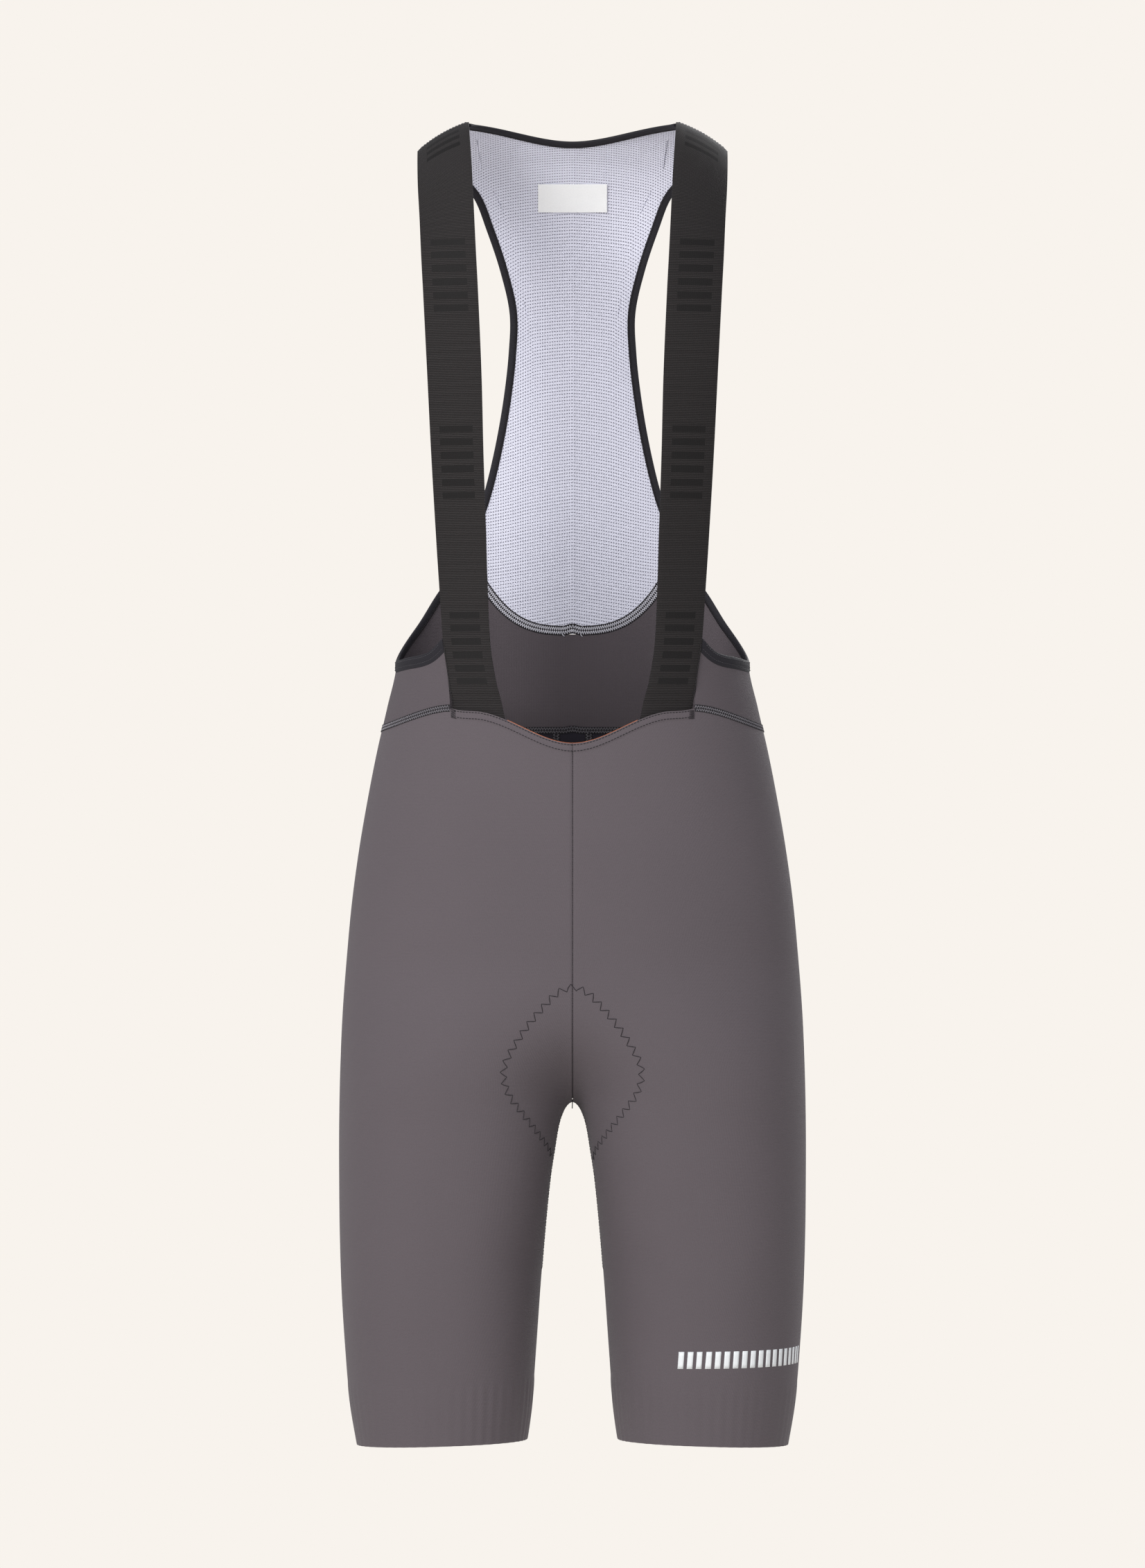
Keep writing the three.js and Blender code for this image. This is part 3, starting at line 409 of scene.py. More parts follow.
def on_body(place):
    """The cloth points that lie nearest to places on the upper body, and the way out there."""
    place = np.asarray(place, float)
    x, y, z = place[..., 0], place[..., 1], place[..., 2]
    facing = np.where(y < 0, -1, 1)
    near_ridge = ridge_at(x) - z < 0.3 * DOME["back"]
    turn = np.where(near_ridge, turn_from_depth(x, y, z), turn_from_height(x, z, facing))
    high_at, high_out = shoulder_point(x, turn)
    mid = FORM["mid"](z)
    depth = np.where(y < mid, FORM["front"](z), FORM["back"](z))
    scale = (np.abs(x / FORM["wide"](z)) ** ROUND
             + np.abs((y - mid) / depth) ** ROUND) ** (1 / ROUND)
    low_at = stack(x / scale, mid + (y - mid) / scale, z)
    low_out = form_normal(np.abs(x) / scale, low_at[..., 1], z)
    low_out[..., 0] *= np.where(x < 0, -1, 1)
    high = ((z > DOME_END) & (np.abs(x) < 0.85 * FORM["wide"](z)))[..., None]
    return np.where(high, high_at, low_at), np.where(high, high_out, low_out)


def body_point(x, z, facing):
    """A point on the front (facing -1) or the back (1) of the lower body, legs included."""
    x, z = np.broadcast_arrays(np.asarray(x, float), np.asarray(z, float))
    shape = shape_at(z)
    side = np.abs(x)
    local = local_x(shape, side)
    inside = 1 - np.abs((local - shape["centre"]) / shape["half"]) ** ROUND
    depth = shape["front" if facing < 0 else "back"]
    y = shape["mid"] + facing * depth * np.maximum(0, inside) ** (1 / ROUND)
    out = form_normal(side, y, z)
    out[..., 0] *= np.where(x < 0, -1, 1)
    return stack(x, y, z), out


# Open edges as curves on the body

class EdgeCurve:
    """A centripetal curve through points, measured by its length."""

    def __init__(self, points, samples=60):
        points = np.asarray(points, float)
        ends = [2 * points[0] - points[1], *points, 2 * points[-1] - points[-2]]
        w = np.linspace(0, 1, samples, endpoint=False)[:, None]
        track = []
        for p0, p1, p2, p3 in zip(ends, ends[1:], ends[2:], ends[3:]):
            d0, d1, d2 = (np.sqrt(max(np.linalg.norm(b - a), 1e-8))
                          for a, b in ((p0, p1), (p1, p2), (p2, p3)))
            m1 = ((p1 - p0) / d0 - (p2 - p0) / (d0 + d1) + (p2 - p1) / d1) * d1
            m2 = ((p2 - p1) / d1 - (p3 - p1) / (d1 + d2) + (p3 - p2) / d2) * d1
            c2, c3 = 3 * (p2 - p1) - 2 * m1 - m2, 2 * (p1 - p2) + m1 + m2
            track.append(p1 + w * (m1 + w * (c2 + w * c3)))
        self.track = np.concatenate([*track, points[-1:]])
        pieces = np.linalg.norm(np.diff(self.track, axis=0), axis=1)
        self.lengths = np.concatenate([[0], np.cumsum(pieces)])
        self.length = self.lengths[-1]

    def at(self, u):
        distance = np.clip(u, 0, 1) * self.length
        return np.stack([np.interp(distance, self.lengths, self.track[:, k])
                         for k in range(3)], axis=-1)

    def tangent(self, u):
        step = 0.002
        u = np.clip(u, step, 1 - step)
        return unit(self.at(u + step) - self.at(u - step))


def armhole_curve():
    low = []
    for around, z in SCOOP_EDGE:
        height = np.array([float(z)])
        (quarter,) = distance_from_back(height, FORM["wide"](height) - 0.01, np.ones(1))
        length, _ = section_sizes(height)
        low.append(section_point(height, length - (quarter - around))[0][0])
    x, z = np.array(ARMHOLE_EDGE, float).T
    high = shoulder_place(x, turn_from_height(x, z, np.ones_like(x)))
    return EdgeCurve([*low, *high, on_shoulder_seam(RIDGE["half"])[0]])


def neck_curve():
    half = STRAP["inner"](0) - 1
    x = np.linspace(-half, half, 41)
    side = np.abs(x)
    seam = turn_from_depth(side, np.full_like(side, SHOULDER_SEAM))
    at = np.minimum(side, BACK_NECK["corner"])
    height = -BACK_NECK["dip"] * (1 - smooth(at / BACK_NECK["reach"]))
    opened = turn_from_height(at, height, np.ones_like(at))
    to_seam = np.clip((side - BACK_NECK["corner"])
                      / (STRAP["inner"](0) - BACK_NECK["corner"]), 0, 1)
    return EdgeCurve(shoulder_place(x, mix(opened, seam, to_seam)))


def from_edge(curve, u, distance, hand):
    """The cloth point at a distance from an open edge, into the cloth."""
    u, distance = np.broadcast_arrays(np.asarray(u, float), np.asarray(distance, float))
    place, tangent = curve.at(u), curve.tangent(u)
    _, out = on_body(place)
    inward = unit(np.cross(tangent, out) * hand)
    return on_body(place + inward * distance[..., None])


ARMHOLE, NECK = armhole_curve(), neck_curve()
ARMHOLE_HAND, NECK_HAND = 1, -1
BUTT = 0.0003
_shares = np.linspace(0, 1, 401)
SIDE_SHARE = _shares[np.argmax(ARMHOLE.at(_shares)[:, 1] > 0)]


def band_width(u):
    return mix(BANDS["scoop"], BANDS["armhole"], smooth((u - SIDE_SHARE) / 0.06 + 0.5))


def neck_width(u):
    return np.full_like(u, BANDS["neck"])


def band_start(depth_share, extra):
    """The share of the armhole at which a line along its band clears the strap."""
    u = np.linspace(0, 0.3, 1001)
    at, _ = from_edge(ARMHOLE, u, depth_share * band_width(u) + extra, ARMHOLE_HAND)
    return u[np.argmax(at[:, 0] >= STRAP["outer"](at[:, 2]) + 1.5 * SEAM)]


def mesh_seam(x, gap):
    slope = 3 * MESH_SEAM["rise"] * x * np.abs(x) / MESH_SEAM["reach"] ** 3
    height = MESH_SEAM["middle"] + MESH_SEAM["rise"] * (np.abs(x) / MESH_SEAM["reach"]) ** 3
    length = np.hypot(slope, 1)
    z = height + gap / length
    side = x - gap * slope / length
    return on_body(stack(side, depth_at(side, z, np.ones_like(z)), z))


def binding_inside(u):
    return from_edge(ARMHOLE, u, band_width(u) + SEAM, ARMHOLE_HAND)


def seam_corner(gap):
    share = mix(SIDE_SHARE, 0.75, np.linspace(0, 1, 601))
    track, _ = binding_inside(share)
    x = np.linspace(55, 80, 201)
    at, _ = mesh_seam(x, gap)
    distance = np.linalg.norm(track[None] - at[:, None], axis=-1)
    i, j = np.unravel_index(np.argmin(distance), distance.shape)
    return x[i], share[j]


CORNER_X, CORNER_SHARE = seam_corner(0)


# Grids of cloth points, in rows and columns: the places, the ways out, and where each point lies
# on the flat cloth, shifted so that it is never negative

LEG_COLUMNS = 264
RIBS = {"count": 52, "height": 40, "fade": 6, "rise": 0.52, "even": 0.75, "uneven": 0.25}
HEM_FOLD = {"depth": 6.2, "rows": 9, "end": 86, "rise": 0.5}
TURN_IN = {"depth": 0.45, "reach": 1.1}
MESH_FOLD = {"rise": 0.5, "reach": 1.8}


def leg_grid():
    u = np.linspace(0, 1, LEG_COLUMNS + 1)
    t = u - 0.6 / (2 * np.pi) * np.sin(2 * np.pi * u)
    hem = settle(t, HEM["z"], hem_edge)
    top = settle(t, YOKE_SEAM_BACK, top_edge) - SEAM / 2
    rib_top = hem + RIBS["height"] + RIBS["fade"]
    shares = np.linspace(0, 1, 45)
    below = panel_heights(t, rib_top, shares, 2.2, 1.3)[:, ::-1]
    above = panel_heights(t, top - HEM_FOLD["rows"], np.linspace(0, 1, 70), 3, 1.25)[:, 1:]
    fold = top[:, None] - HEM_FOLD["rows"] * (1 - np.linspace(0, 1, 15)[None, 1:])
    ribs = mix(hem[:, None], rib_top[:, None], np.linspace(0, 1, 13)[None, :-1])
    heights = np.concatenate([ribs, below, above, fold], axis=1).T
    at, out = panel_point(heights, np.broadcast_to(t, heights.shape))
    raised = smooth((rib_top - heights) / RIBS["fade"])
    wave = 0.5 - 0.5 * np.cos(2 * np.pi * RIBS["count"] * t)
    strength = RIBS["even"] + RIBS["uneven"] * np.sin(7.3 * RIBS["count"] * t + 1.1)
    # A seam's edges turn in a little where they meet
    round_leg = np.minimum(t, 1 - t) * section_sizes(heights)[0]
    turned_in = TURN_IN["depth"] * np.exp(-(round_leg / TURN_IN["reach"]) ** 2)
    doubled = (smooth((HEM_FOLD["depth"] + 0.6 - (top - heights)) / 1.2)
               * smooth((HEM_FOLD["end"] - at[..., 0]) / 1.0) * (at[..., 1] < 0))
    lift = (RIBS["rise"] * raised * wave * strength - turned_in
            + HEM_FOLD["rise"] * doubled)
    at = at + out * lift[..., None]
    at[..., 0] = np.maximum(at[..., 0], SEAM / 2)
    around, side = panel_distance(heights, np.broadcast_to(t, heights.shape))
    uv = np.stack([around - side + 300, heights - HEM["z"]], axis=-1)
    return at, out, uv


def strip_grid():
    z = mix(CROTCH + STRIP["start"] + 1, YOKE_SEAM_BACK - SEAM / 2,
            np.linspace(0, 1, 121) ** 1.5)[:, None]
    across = np.linspace(-1, 1, 13)[None, :]
    z, across = np.broadcast_arrays(z, across)
    length, _ = section_sizes(z)
    at, out = section_point(z, length - strip_half(z) * np.abs(across))
    side = np.where(across < 0, -1, 1)
    at[..., 0] *= side
    out[..., 0] *= side
    return at, out, np.stack([across * strip_half(z) + STRIP["half"], z - CROTCH], axis=-1)


def yoke_grid(rows=30):
    x, _ = seam_corner(-SEAM / 2)
    start = band_start(1, SEAM)
    top = np.concatenate([
        mesh_seam(np.linspace(0, x, 61), -SEAM / 2)[0],
        binding_inside(mix(CORNER_SHARE, SIDE_SHARE, np.linspace(0, 1, 46)[1:-1]))[0],
        binding_inside(mix(SIDE_SHARE, start, np.linspace(0, 1, 61)))[0],
    ])
    place_x = np.clip(top[:, 0], 0, FORM["wide"](top[:, 2]) - 0.01)
    facing = np.where(top[:, 1] > FORM["mid"](top[:, 2]), 1, -1)

    def whole(z):
        return distance_from_back(z, STRAP["outer"](z) + 1.5 * SEAM, -np.ones_like(z))[0]

    (reach,) = distance_from_back(top[:, 2], place_x, facing)
    share = np.clip(reach / whole(top[:, 2]), 0, 1)

    def at_height(z, share):
        return section_point(z, section_sizes(z)[0] - share * whole(z))

    low = np.full(len(top), YOKE_SEAM_BACK, float)
    for _ in range(4):
        low = top_edge(at_height(low, share)[0])
    v = np.linspace(0, 1, rows + 1)[:, None]
    z = mix(low[None] + SEAM, top[None, :, 2], v)
    shares = np.broadcast_to(share, z.shape)
    at, out = at_height(z, shares)
    at[:, 0, 0] = 0
    out[:, 0, 0] = 0
    uv = np.stack([shares * whole(z), z - YOKE_SEAM_BACK + 20], axis=-1)
    flip = np.array([-1, 1, 1])
    uv_left = uv * np.array([-1, 1])
    uv = np.concatenate([uv_left[:, :0:-1], uv], axis=1) + np.array([240, 0])
    return (np.concatenate([at[:, :0:-1] * flip, at], axis=1),
            np.concatenate([out[:, :0:-1] * flip, out], axis=1), uv)


def mesh_grid(rows=110, columns=50):
    x, _ = seam_corner(SEAM / 2)
    seam = BANDS["neck"] + SEAM
    outer = RIDGE["half"] - BANDS["armhole"] - SEAM
    top_corner = on_shoulder_seam(outer)[0]
    u = np.abs(np.linspace(-1, 1, 2 * columns + 1))
    side = np.where(np.linspace(-1, 1, 2 * columns + 1) < 0, -1, 1)
    neck, _ = from_edge(NECK, mix(0.5, 1, np.clip(u / 0.7, 0, 1)), seam, NECK_HAND)
    last = from_edge(NECK, 1.0, seam, NECK_HAND)[0][0]
    shoulder, _ = on_shoulder_seam(mix(last, outer, np.clip((u - 0.7) / 0.3, 0, 1)))
    top = np.where((u > 0.7)[:, None], shoulder, neck)
    v = np.linspace(0, 1, rows + 1)
    rail = binding_inside(mix(CORNER_SHARE, 1, v))[0]
    rail[0] = mesh_seam(np.array(x), SEAM / 2)[0]
    rail[-1] = top_corner
    bottom, _ = mesh_seam(x * u, SEAM / 2)
    bow = rail - mix(rail[0], top_corner, v[:, None])
    place = (mix(bottom[None], top[None], v[:, None, None])
             + bow[:, None] * u[None, :, None])
    at, out = on_body(place)
    at[..., 0] *= side
    out[..., 0] *= side
    # A faint fold stands along the middle, and the rows of holes fall away from it sideways
    ridge = np.exp(-(at[..., 0] / MESH_FOLD["reach"]) ** 2)
    fold = MESH_FOLD["rise"] * smooth(v * 14)[:, None] * ridge
    at = at - out * fold[..., None]
    rise = np.linalg.norm(np.diff(at, axis=0, prepend=at[:1]), axis=-1)
    height = np.cumsum(rise, axis=0) + at[:1, :, 2] - at[0, columns, 2]
    fall = mix(0.17, 0.05, smooth(v * 1.3))[:, None] * np.abs(at[..., 0])
    uv = np.stack([at[..., 0] + 120, height + fall + 20], axis=-1)
    return at, out, uv


def strap_grid():
    levels = np.concatenate([
        STRAP_TUCK["start"] * np.linspace(0, 1, 130) ** 1.1,
        mix(STRAP_TUCK["start"], STRAP_TUCK["end"], np.linspace(0, 1, 13))[1:],
        [STRAP_TUCK["foot"]]])[:, None]
    v = np.linspace(0, 1, 17)[None, :]
    # The end laps over the mesh behind the shoulder, and so it lies a little higher there
    before_seam = 2.0
    x0, depth = np.broadcast_arrays(
        mix(STRAP["inner"](0), STRAP["outer"](0), v),
        SHOULDER_SEAM + np.array([STRAP_LAP, 0.0, -before_seam])[:, None])
    first = shoulder_point(x0, turn_from_depth(x0, depth))
    x = mix(STRAP["inner"](levels), STRAP["outer"](levels), v)
    z = levels + ridge_at(x) * (1 - smooth(-levels / 100))
    high = shoulder_point(x, turn_from_height(x, z, -np.ones_like(x)) - 1e-6)
    low = on_body(stack(x, -depth_at(x, z, -np.ones_like(x)), z))
    above = (z > DOME_END)[..., None]
    at = np.concatenate([first[0], np.where(above, high[0], low[0])])
    out = np.concatenate([first[1], np.where(above, high[1], low[1])])
    rise = np.linalg.norm(np.diff(at[:, 8], axis=0), axis=-1)
    along = np.concatenate([[0], np.cumsum(rise)])
    uv = np.stack(np.broadcast_arrays(WEBBING["width"] * v, along[:, None]), axis=-1)
    tuck = STRAP_TUCK["depth"] * smooth(
        (at[..., 2] - STRAP_TUCK["start"]) / (STRAP_TUCK["end"] - STRAP_TUCK["start"]))
    edge = np.minimum(v, 1 - v) * WEBBING["width"]
    soft = WEBBING["edge_drop"] * np.exp(-(edge / WEBBING["soft_edge"]) ** 2)
    lift = WEBBING["lift"] - tuck - soft
    lift[:len(depth)] += WEBBING["lap_rise"] * smooth(
        (depth - SHOULDER_SEAM + before_seam) / before_seam)
    return at + out * lift[..., None], out, uv


def facing_grid():
    x = np.linspace(-FACING["half"], FACING["half"], 61)[None, :]
    v = np.linspace(0, 1, 7)[:, None]
    z = neckline_height(x) + FACING["above"] - FACING["width"] * (1 - v)
    at, out = on_body(stack(x, -depth_at(x, z, -np.ones_like(z)), z))
    uv = np.stack(np.broadcast_arrays(x + 60, FACING["width"] * v), axis=-1)
    return at - FACING["inside"] * out, out, uv


def label_grid():
    x = np.linspace(-LABEL["half"], LABEL["half"], 25)[None, :]
    z = np.linspace(LABEL["low"], LABEL["high"], 13)[:, None]
    x, z = np.broadcast_arrays(x, z)
    at, out = on_body(stack(x, depth_at(x, z, np.ones_like(z)) * 0.9, z))
    return at - LABEL["inside"] * out, out, np.stack([x + 30, z + 60], axis=-1)


# Meshes

def new_object(name, points, faces, uv=None, smooth_angle=0.6):
    """A mesh object at the origin. Points and uv are in millimetres, and faces are an array."""
    mesh = bpy.data.meshes.new(name)
    points = np.asarray(points, np.float64) * MM
    faces = np.asarray(faces, np.int32)
    mesh.vertices.add(len(points))
    mesh.vertices.foreach_set("co", points.astype(np.float32).ravel())
    mesh.loops.add(faces.size)
    mesh.loops.foreach_set("vertex_index", faces.ravel())
    mesh.polygons.add(len(faces))
    starts = np.arange(0, faces.size, faces.shape[1], dtype=np.int32)
    mesh.polygons.foreach_set("loop_start", starts)
    mesh.update(calc_edges=True)
    if uv is not None:
        layer = mesh.uv_layers.new(name="Cloth")
        layer.data.foreach_set(
            "uv", (np.asarray(uv, float) * MM)[faces.ravel()].astype(np.float32).ravel())
    obj = bpy.data.objects.new(name, mesh)
    bpy.context.scene.collection.objects.link(obj)
    only(obj)
    bpy.ops.object.shade_smooth_by_angle(angle=smooth_angle)
    return obj


def only(obj):
    """Selects one object alone and makes it the active one."""
    bpy.ops.object.select_all(action="DESELECT")
    obj.select_set(True)
    bpy.context.view_layer.objects.active = obj


def grid_faces(rows, columns, ring=False):
    i = np.arange(rows - 1)[:, None] * columns
    j = np.arange(columns if ring else columns - 1)[None, :]
    k = (j + 1) % columns
    return np.stack([i + j, i + k, i + columns + k, i + columns + j], axis=-1).reshape(-1, 4)


def facing_out(points, out, faces):
    """The faces, turned where they look the other way."""
    a, b, d = (points[faces[:, k]] for k in (0, 1, 3))
    way = np.einsum("ij,ij->i", np.cross(b - a, d - a), out[faces[:, 0]])
    return faces if way.sum() > 0 else faces[:, ::-1]


def shell(name, grid, thickness, finishes, side=1):
    """A thin wall whose outer face is the grid; side -1 is its mirror image. A second finish
    is the inner face's."""
    at, out, uv = grid
    flip = np.array([side, 1, 1])
    points, ways = at.reshape(-1, 3) * flip, out.reshape(-1, 3) * flip
    faces = facing_out(points, ways, grid_faces(*at.shape[:2]))
    obj = new_object(name, points, faces, uv.reshape(-1, 2))
    for finish in finishes:
        obj.data.materials.append(finish)
    solid = obj.modifiers.new("Cloth thickness", "SOLIDIFY")
    solid.thickness = thickness * MM
    solid.offset = -1
    solid.material_offset = len(finishes) - 1
    only(obj)
    bpy.ops.object.modifier_apply(modifier=solid.name)
    bpy.ops.object.shade_smooth_by_angle(angle=0.6)
    return obj


def swept(name, rings, uv, side=1):
    """A closed tube through rings of points, with flat ends."""
    flip = np.array([side, 1, 1])
    rows, columns = rings.shape[:2]
    points = rings.reshape(-1, 3) * flip
    faces = grid_faces(rows, columns, ring=True)
    middle = np.array([(k, (k + 1) % columns) for k in range(columns)])
    ends = points.reshape(rows, columns, 3)[[0, -1]].mean(axis=1)
    first, last = len(points), len(points) + 1
    caps = np.concatenate([
        np.stack([middle[:, 1], middle[:, 0], np.full(columns, first), np.full(columns, first)], 1),
        np.stack([middle[:, 0], middle[:, 1], np.zeros(columns, int), np.zeros(columns, int)], 1)])
    caps[columns:, :2] += (rows - 1) * columns
    caps[columns:, 2:] = last
    points = np.concatenate([points, ends])
    triangles = np.concatenate([faces[:, [0, 1, 2]], faces[:, [0, 2, 3]], caps[:, :3]])
    a, b, c = (points[triangles[:, k]] for k in range(3))
    if np.einsum("ij,ij->", a, np.cross(b, c)) < 0:
        triangles = triangles[:, ::-1]
    flat = np.concatenate([uv.reshape(-1, 2), uv.reshape(rows, columns, 2)[[0, -1]].mean(axis=1)])
    return new_object(name, points, triangles, flat)


# Cross section of a folded binding: distance from the open edge and height over the cloth
BINDING_PROFILE = np.array([
    (1.08, 0.12), (0.98, 0.50), (0.86, 0.72), (0.74, 0.56), (0.66, 0.60), (0.50, 0.98),
    (0.30, 0.98), (0.14, 0.74), (0.03, 0.25), (-0.02, -0.55), (0.04, -1.35), (0.16, -1.72),
    (0.50, -1.80), (0.94, -1.78), (1.08, -1.30),
])


def band(name, curve, hand, shares, width, finish, side=1):
    """A binding along an open edge. shares gives each ring's place along the edge."""
    distance, lift = BINDING_PROFILE[:, 0], BINDING_PROFILE[:, 1]
    along = np.broadcast_to(shares, (len(shares), len(distance)))
    widths = width(along)
    at, out = from_edge(curve, along, distance[None] * widths, hand)
    rings = at + out * lift[None, :, None]
    pieces = np.linalg.norm(np.diff(rings, axis=1, prepend=rings[:, :1]), axis=-1)
    uv = np.stack([np.cumsum(pieces, axis=1), along * curve.length], axis=-1)
    obj = swept(name, rings, uv, side)
    obj.data.materials.append(finish)
    return obj


def carry(obj, slot, *nodes):
    """A finished piece takes the place of its CAD nodes, if it has any."""
    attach(obj, "root")
    if nodes:
        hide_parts(*nodes)


# Sewing: threads and tapes along lines on the cloth

STITCH_SINK = 0.15

# Rows of stitches: pitch, the thread's share of it, thread radius, and rise over the cloth
FRONT_ROW = (1.7, 0.62, 0.2, 0.12)
INSEAM_ROW = (2.3, 0.7, 0.2, 0.22)
NECKLINE_ROW = (2.3, 0.72, 0.27, 0.2)
STRAP_ROW = (2.6, 0.7, 0.2, 0.2)
BINDING_ROW = (2.0, 0.7, 0.2, 0.2)
SHOULDER_ROW = (2.4, 0.7, 0.26, 0.24)
# Zigzags: width, pitch, thread radius, and rise
INSEAM_ZIGZAG = (3.0, 3.2, 0.16, 0.2)
BINDING_ZIGZAG = (1.5, 1.5, 0.2, 0.25)
PAD_ZIGZAG = (5.0, 8.0, 0.24, 0.25)
# Coverstitches: width, pitch, thread radius, and needle rows as shares of half the width
MESH_COVER = (5.8, 1.6, 0.28, (-1, 1))
YOKE_COVER = (4.4, 2.0, 0.22, (-1, 0, 1))
STRIP_COVER = (4.8, 2.1, 0.2, (-1, 0, 1))
FRONT_COVER = (4.0, 2.4, 0.2, (-1, 0, 1))
# The finishes of threads and tapes
PALE, GREY, DARK, TAPE, DIM = range(5)


class SewingLine:
    """A line on the cloth, measured by its length, with the ways out and sideways."""

    def __init__(self, at, out, lift=0.0, inside=False):
        out = -out if inside else out
        at = at + out * lift
        pieces = np.linalg.norm(np.diff(at, axis=0), axis=1)
        self.lengths = np.concatenate([[0], np.cumsum(pieces)])
        self.length = self.lengths[-1]
        self.at, self.out = at, out
        self.side = unit(np.cross(np.gradient(at, axis=0), out))

    def place(self, along, offset, lift):
        def read(values):
            return np.stack([np.interp(along, self.lengths, values[:, k]) for k in range(3)], -1)
        out = read(self.out)
        return (read(self.at) + read(self.side) * np.asarray(offset)[..., None]
                + out * np.asarray(lift)[..., None]), out


class Sewing:
    """Collects threads and tapes of several finishes, and makes one mesh of them."""

    def __init__(self):
        self.points, self.faces, self.finish, self.uv, self.count = [], [], [], [], 0

    def tubes(self, paths, out, wide, tall, finish):
        """Four-sided tubes along paths, all with the same number of points."""
        n, m, _ = paths.shape
        along = unit(np.gradient(paths, axis=1))
        side = unit(np.cross(along, out))
        up = unit(np.cross(side, along))
        ring = [side * wide, up * tall, -side * wide, -up * tall]
        points = np.stack([paths + corner for corner in ring], axis=2)
        start = (np.arange(n) * m * 4)[:, None, None]
        step = (np.arange(m - 1) * 4)[None, :, None]
        k = np.arange(4)[None, None, :]
        k2 = (k + 1) % 4
        base = start + step
        sides = np.stack(np.broadcast_arrays(base + k, base + k2, base + 4 + k2, base + 4 + k), -1)
        first = start[:, 0] + np.array([3, 2, 1, 0])
        last = start[:, 0] + (m - 1) * 4 + np.array([0, 1, 2, 3])
        faces = np.concatenate([sides.reshape(-1, 4), first, last]) + self.count
        travel = np.cumsum(np.linalg.norm(np.diff(paths, axis=1, prepend=paths[:, :1]), axis=-1), 1)
        uv = np.stack(np.broadcast_arrays(np.arange(4)[None, None] * wide, travel[..., None]), -1)
        self.points.append(points.reshape(-1, 3))
        self.uv.append(uv.reshape(-1, 2))
        self.faces.append(faces)
        self.finish.append(np.full(len(faces), finish))
        self.count += n * m * 4

    def stitches(self, line, start, end, offset0, offset1, finish, radius=0.2, rise=0.28,
                 steps=4):
        """Short threads from one offset to another, each sunk in the cloth at its ends."""
        reach = np.linspace(0, 1, steps + 1)
        start, end, offset0, offset1 = (
            np.atleast_1d(v).astype(float)[..., None]
            for v in np.broadcast_arrays(start, end, offset0, offset1))
        along, offset = mix(start, end, reach), mix(offset0, offset1, reach)
        lift = (rise + STITCH_SINK) * np.sin(np.pi * reach) - STITCH_SINK
        paths, out = line.place(along, offset, np.broadcast_to(lift, along.shape))
        self.tubes(paths, out, radius, radius, finish)

    def row(self, line, offset, finish, pitch, share, radius, rise):
        """A row of straight stitches."""
        start = np.arange(0.5, line.length - pitch, pitch)
        self.stitches(line, start, start + pitch * share, offset, offset, finish, radius, rise)

    def zigzag(self, line, finish, width, pitch, radius, rise):
        """Two slanting stitches to each pitch."""
        start = np.arange(0.5, line.length - pitch, pitch)
        low, high = -width / 2, width / 2
        self.stitches(line, start, start + pitch * 0.5, low, high, finish, radius, rise)
        self.stitches(line, start + pitch * 0.5, start + pitch, high, low, finish, radius, rise)

    def cover(self, line, loops, needles, width, pitch, radius, rows):
        """A coverstitch: needle rows, with looping thread between them."""
        half = width / 2
        for inner, outer, turn in ((-half, 0.0, 0.0), (0.0, half, pitch / 2)):
            start = np.arange(0.3 + turn, line.length - pitch, pitch)
            self.stitches(line, start, start + pitch / 2, inner, outer, loops, radius, steps=2)
            self.stitches(line, start + pitch / 2, start + pitch, outer, inner, loops, radius,
                          steps=2)
        for share in rows:
            self.row(line, share * half, needles, pitch, 0.8, radius, 0.42)

    def tape(self, line, width, finish, thick=0.16, steps=2):
        """A flat tape along the whole line, in narrow strips side by side."""
        along = line.lengths
        strip = width / steps
        for k in range(steps):
            offset = -width / 2 + strip * (k + 0.5)
            paths, out = line.place(along, np.full_like(along, offset), np.zeros_like(along))
            self.tubes(paths[None], out[None], strip * 0.53, thick, finish)

    def finished(self, name, finishes, side=1):
        """One mesh of all that was sewn; side -1 is its mirror image."""
        points = np.concatenate(self.points) * np.array([side, 1, 1])
        faces = np.concatenate(self.faces)
        obj = new_object(name, points, faces if side < 0 else faces[:, ::-1],
                         np.concatenate(self.uv), 1.2)
        for finish in finishes:
            obj.data.materials.append(finish)
        slots = np.concatenate(self.finish).astype(np.int32)
        obj.data.polygons.foreach_set("material_index", slots)
        return obj


# Seat pad: traced in planes that stand square to the line down the middle of the body

PAD = {"clearance": 2.2, "edge": 1.5, "middle": 6, "soft_edge": 24, "front_top": -622,
       "back_top": -592, "crowding": 1.5}


def pad_centre_line():
    def half(facing, top):
        z = CROTCH + (top - CROTCH) * np.linspace(0, 1, 81) ** 2.4
        length, _ = section_sizes(z)
        return section_point(z, np.zeros_like(z) if facing < 0 else length)[0]
    front, back = half(-1, PAD["front_top"] + 1)[::-1], half(1, PAD["back_top"] - 1)
    return EdgeCurve(np.concatenate([front[:-1], back]), samples=16)


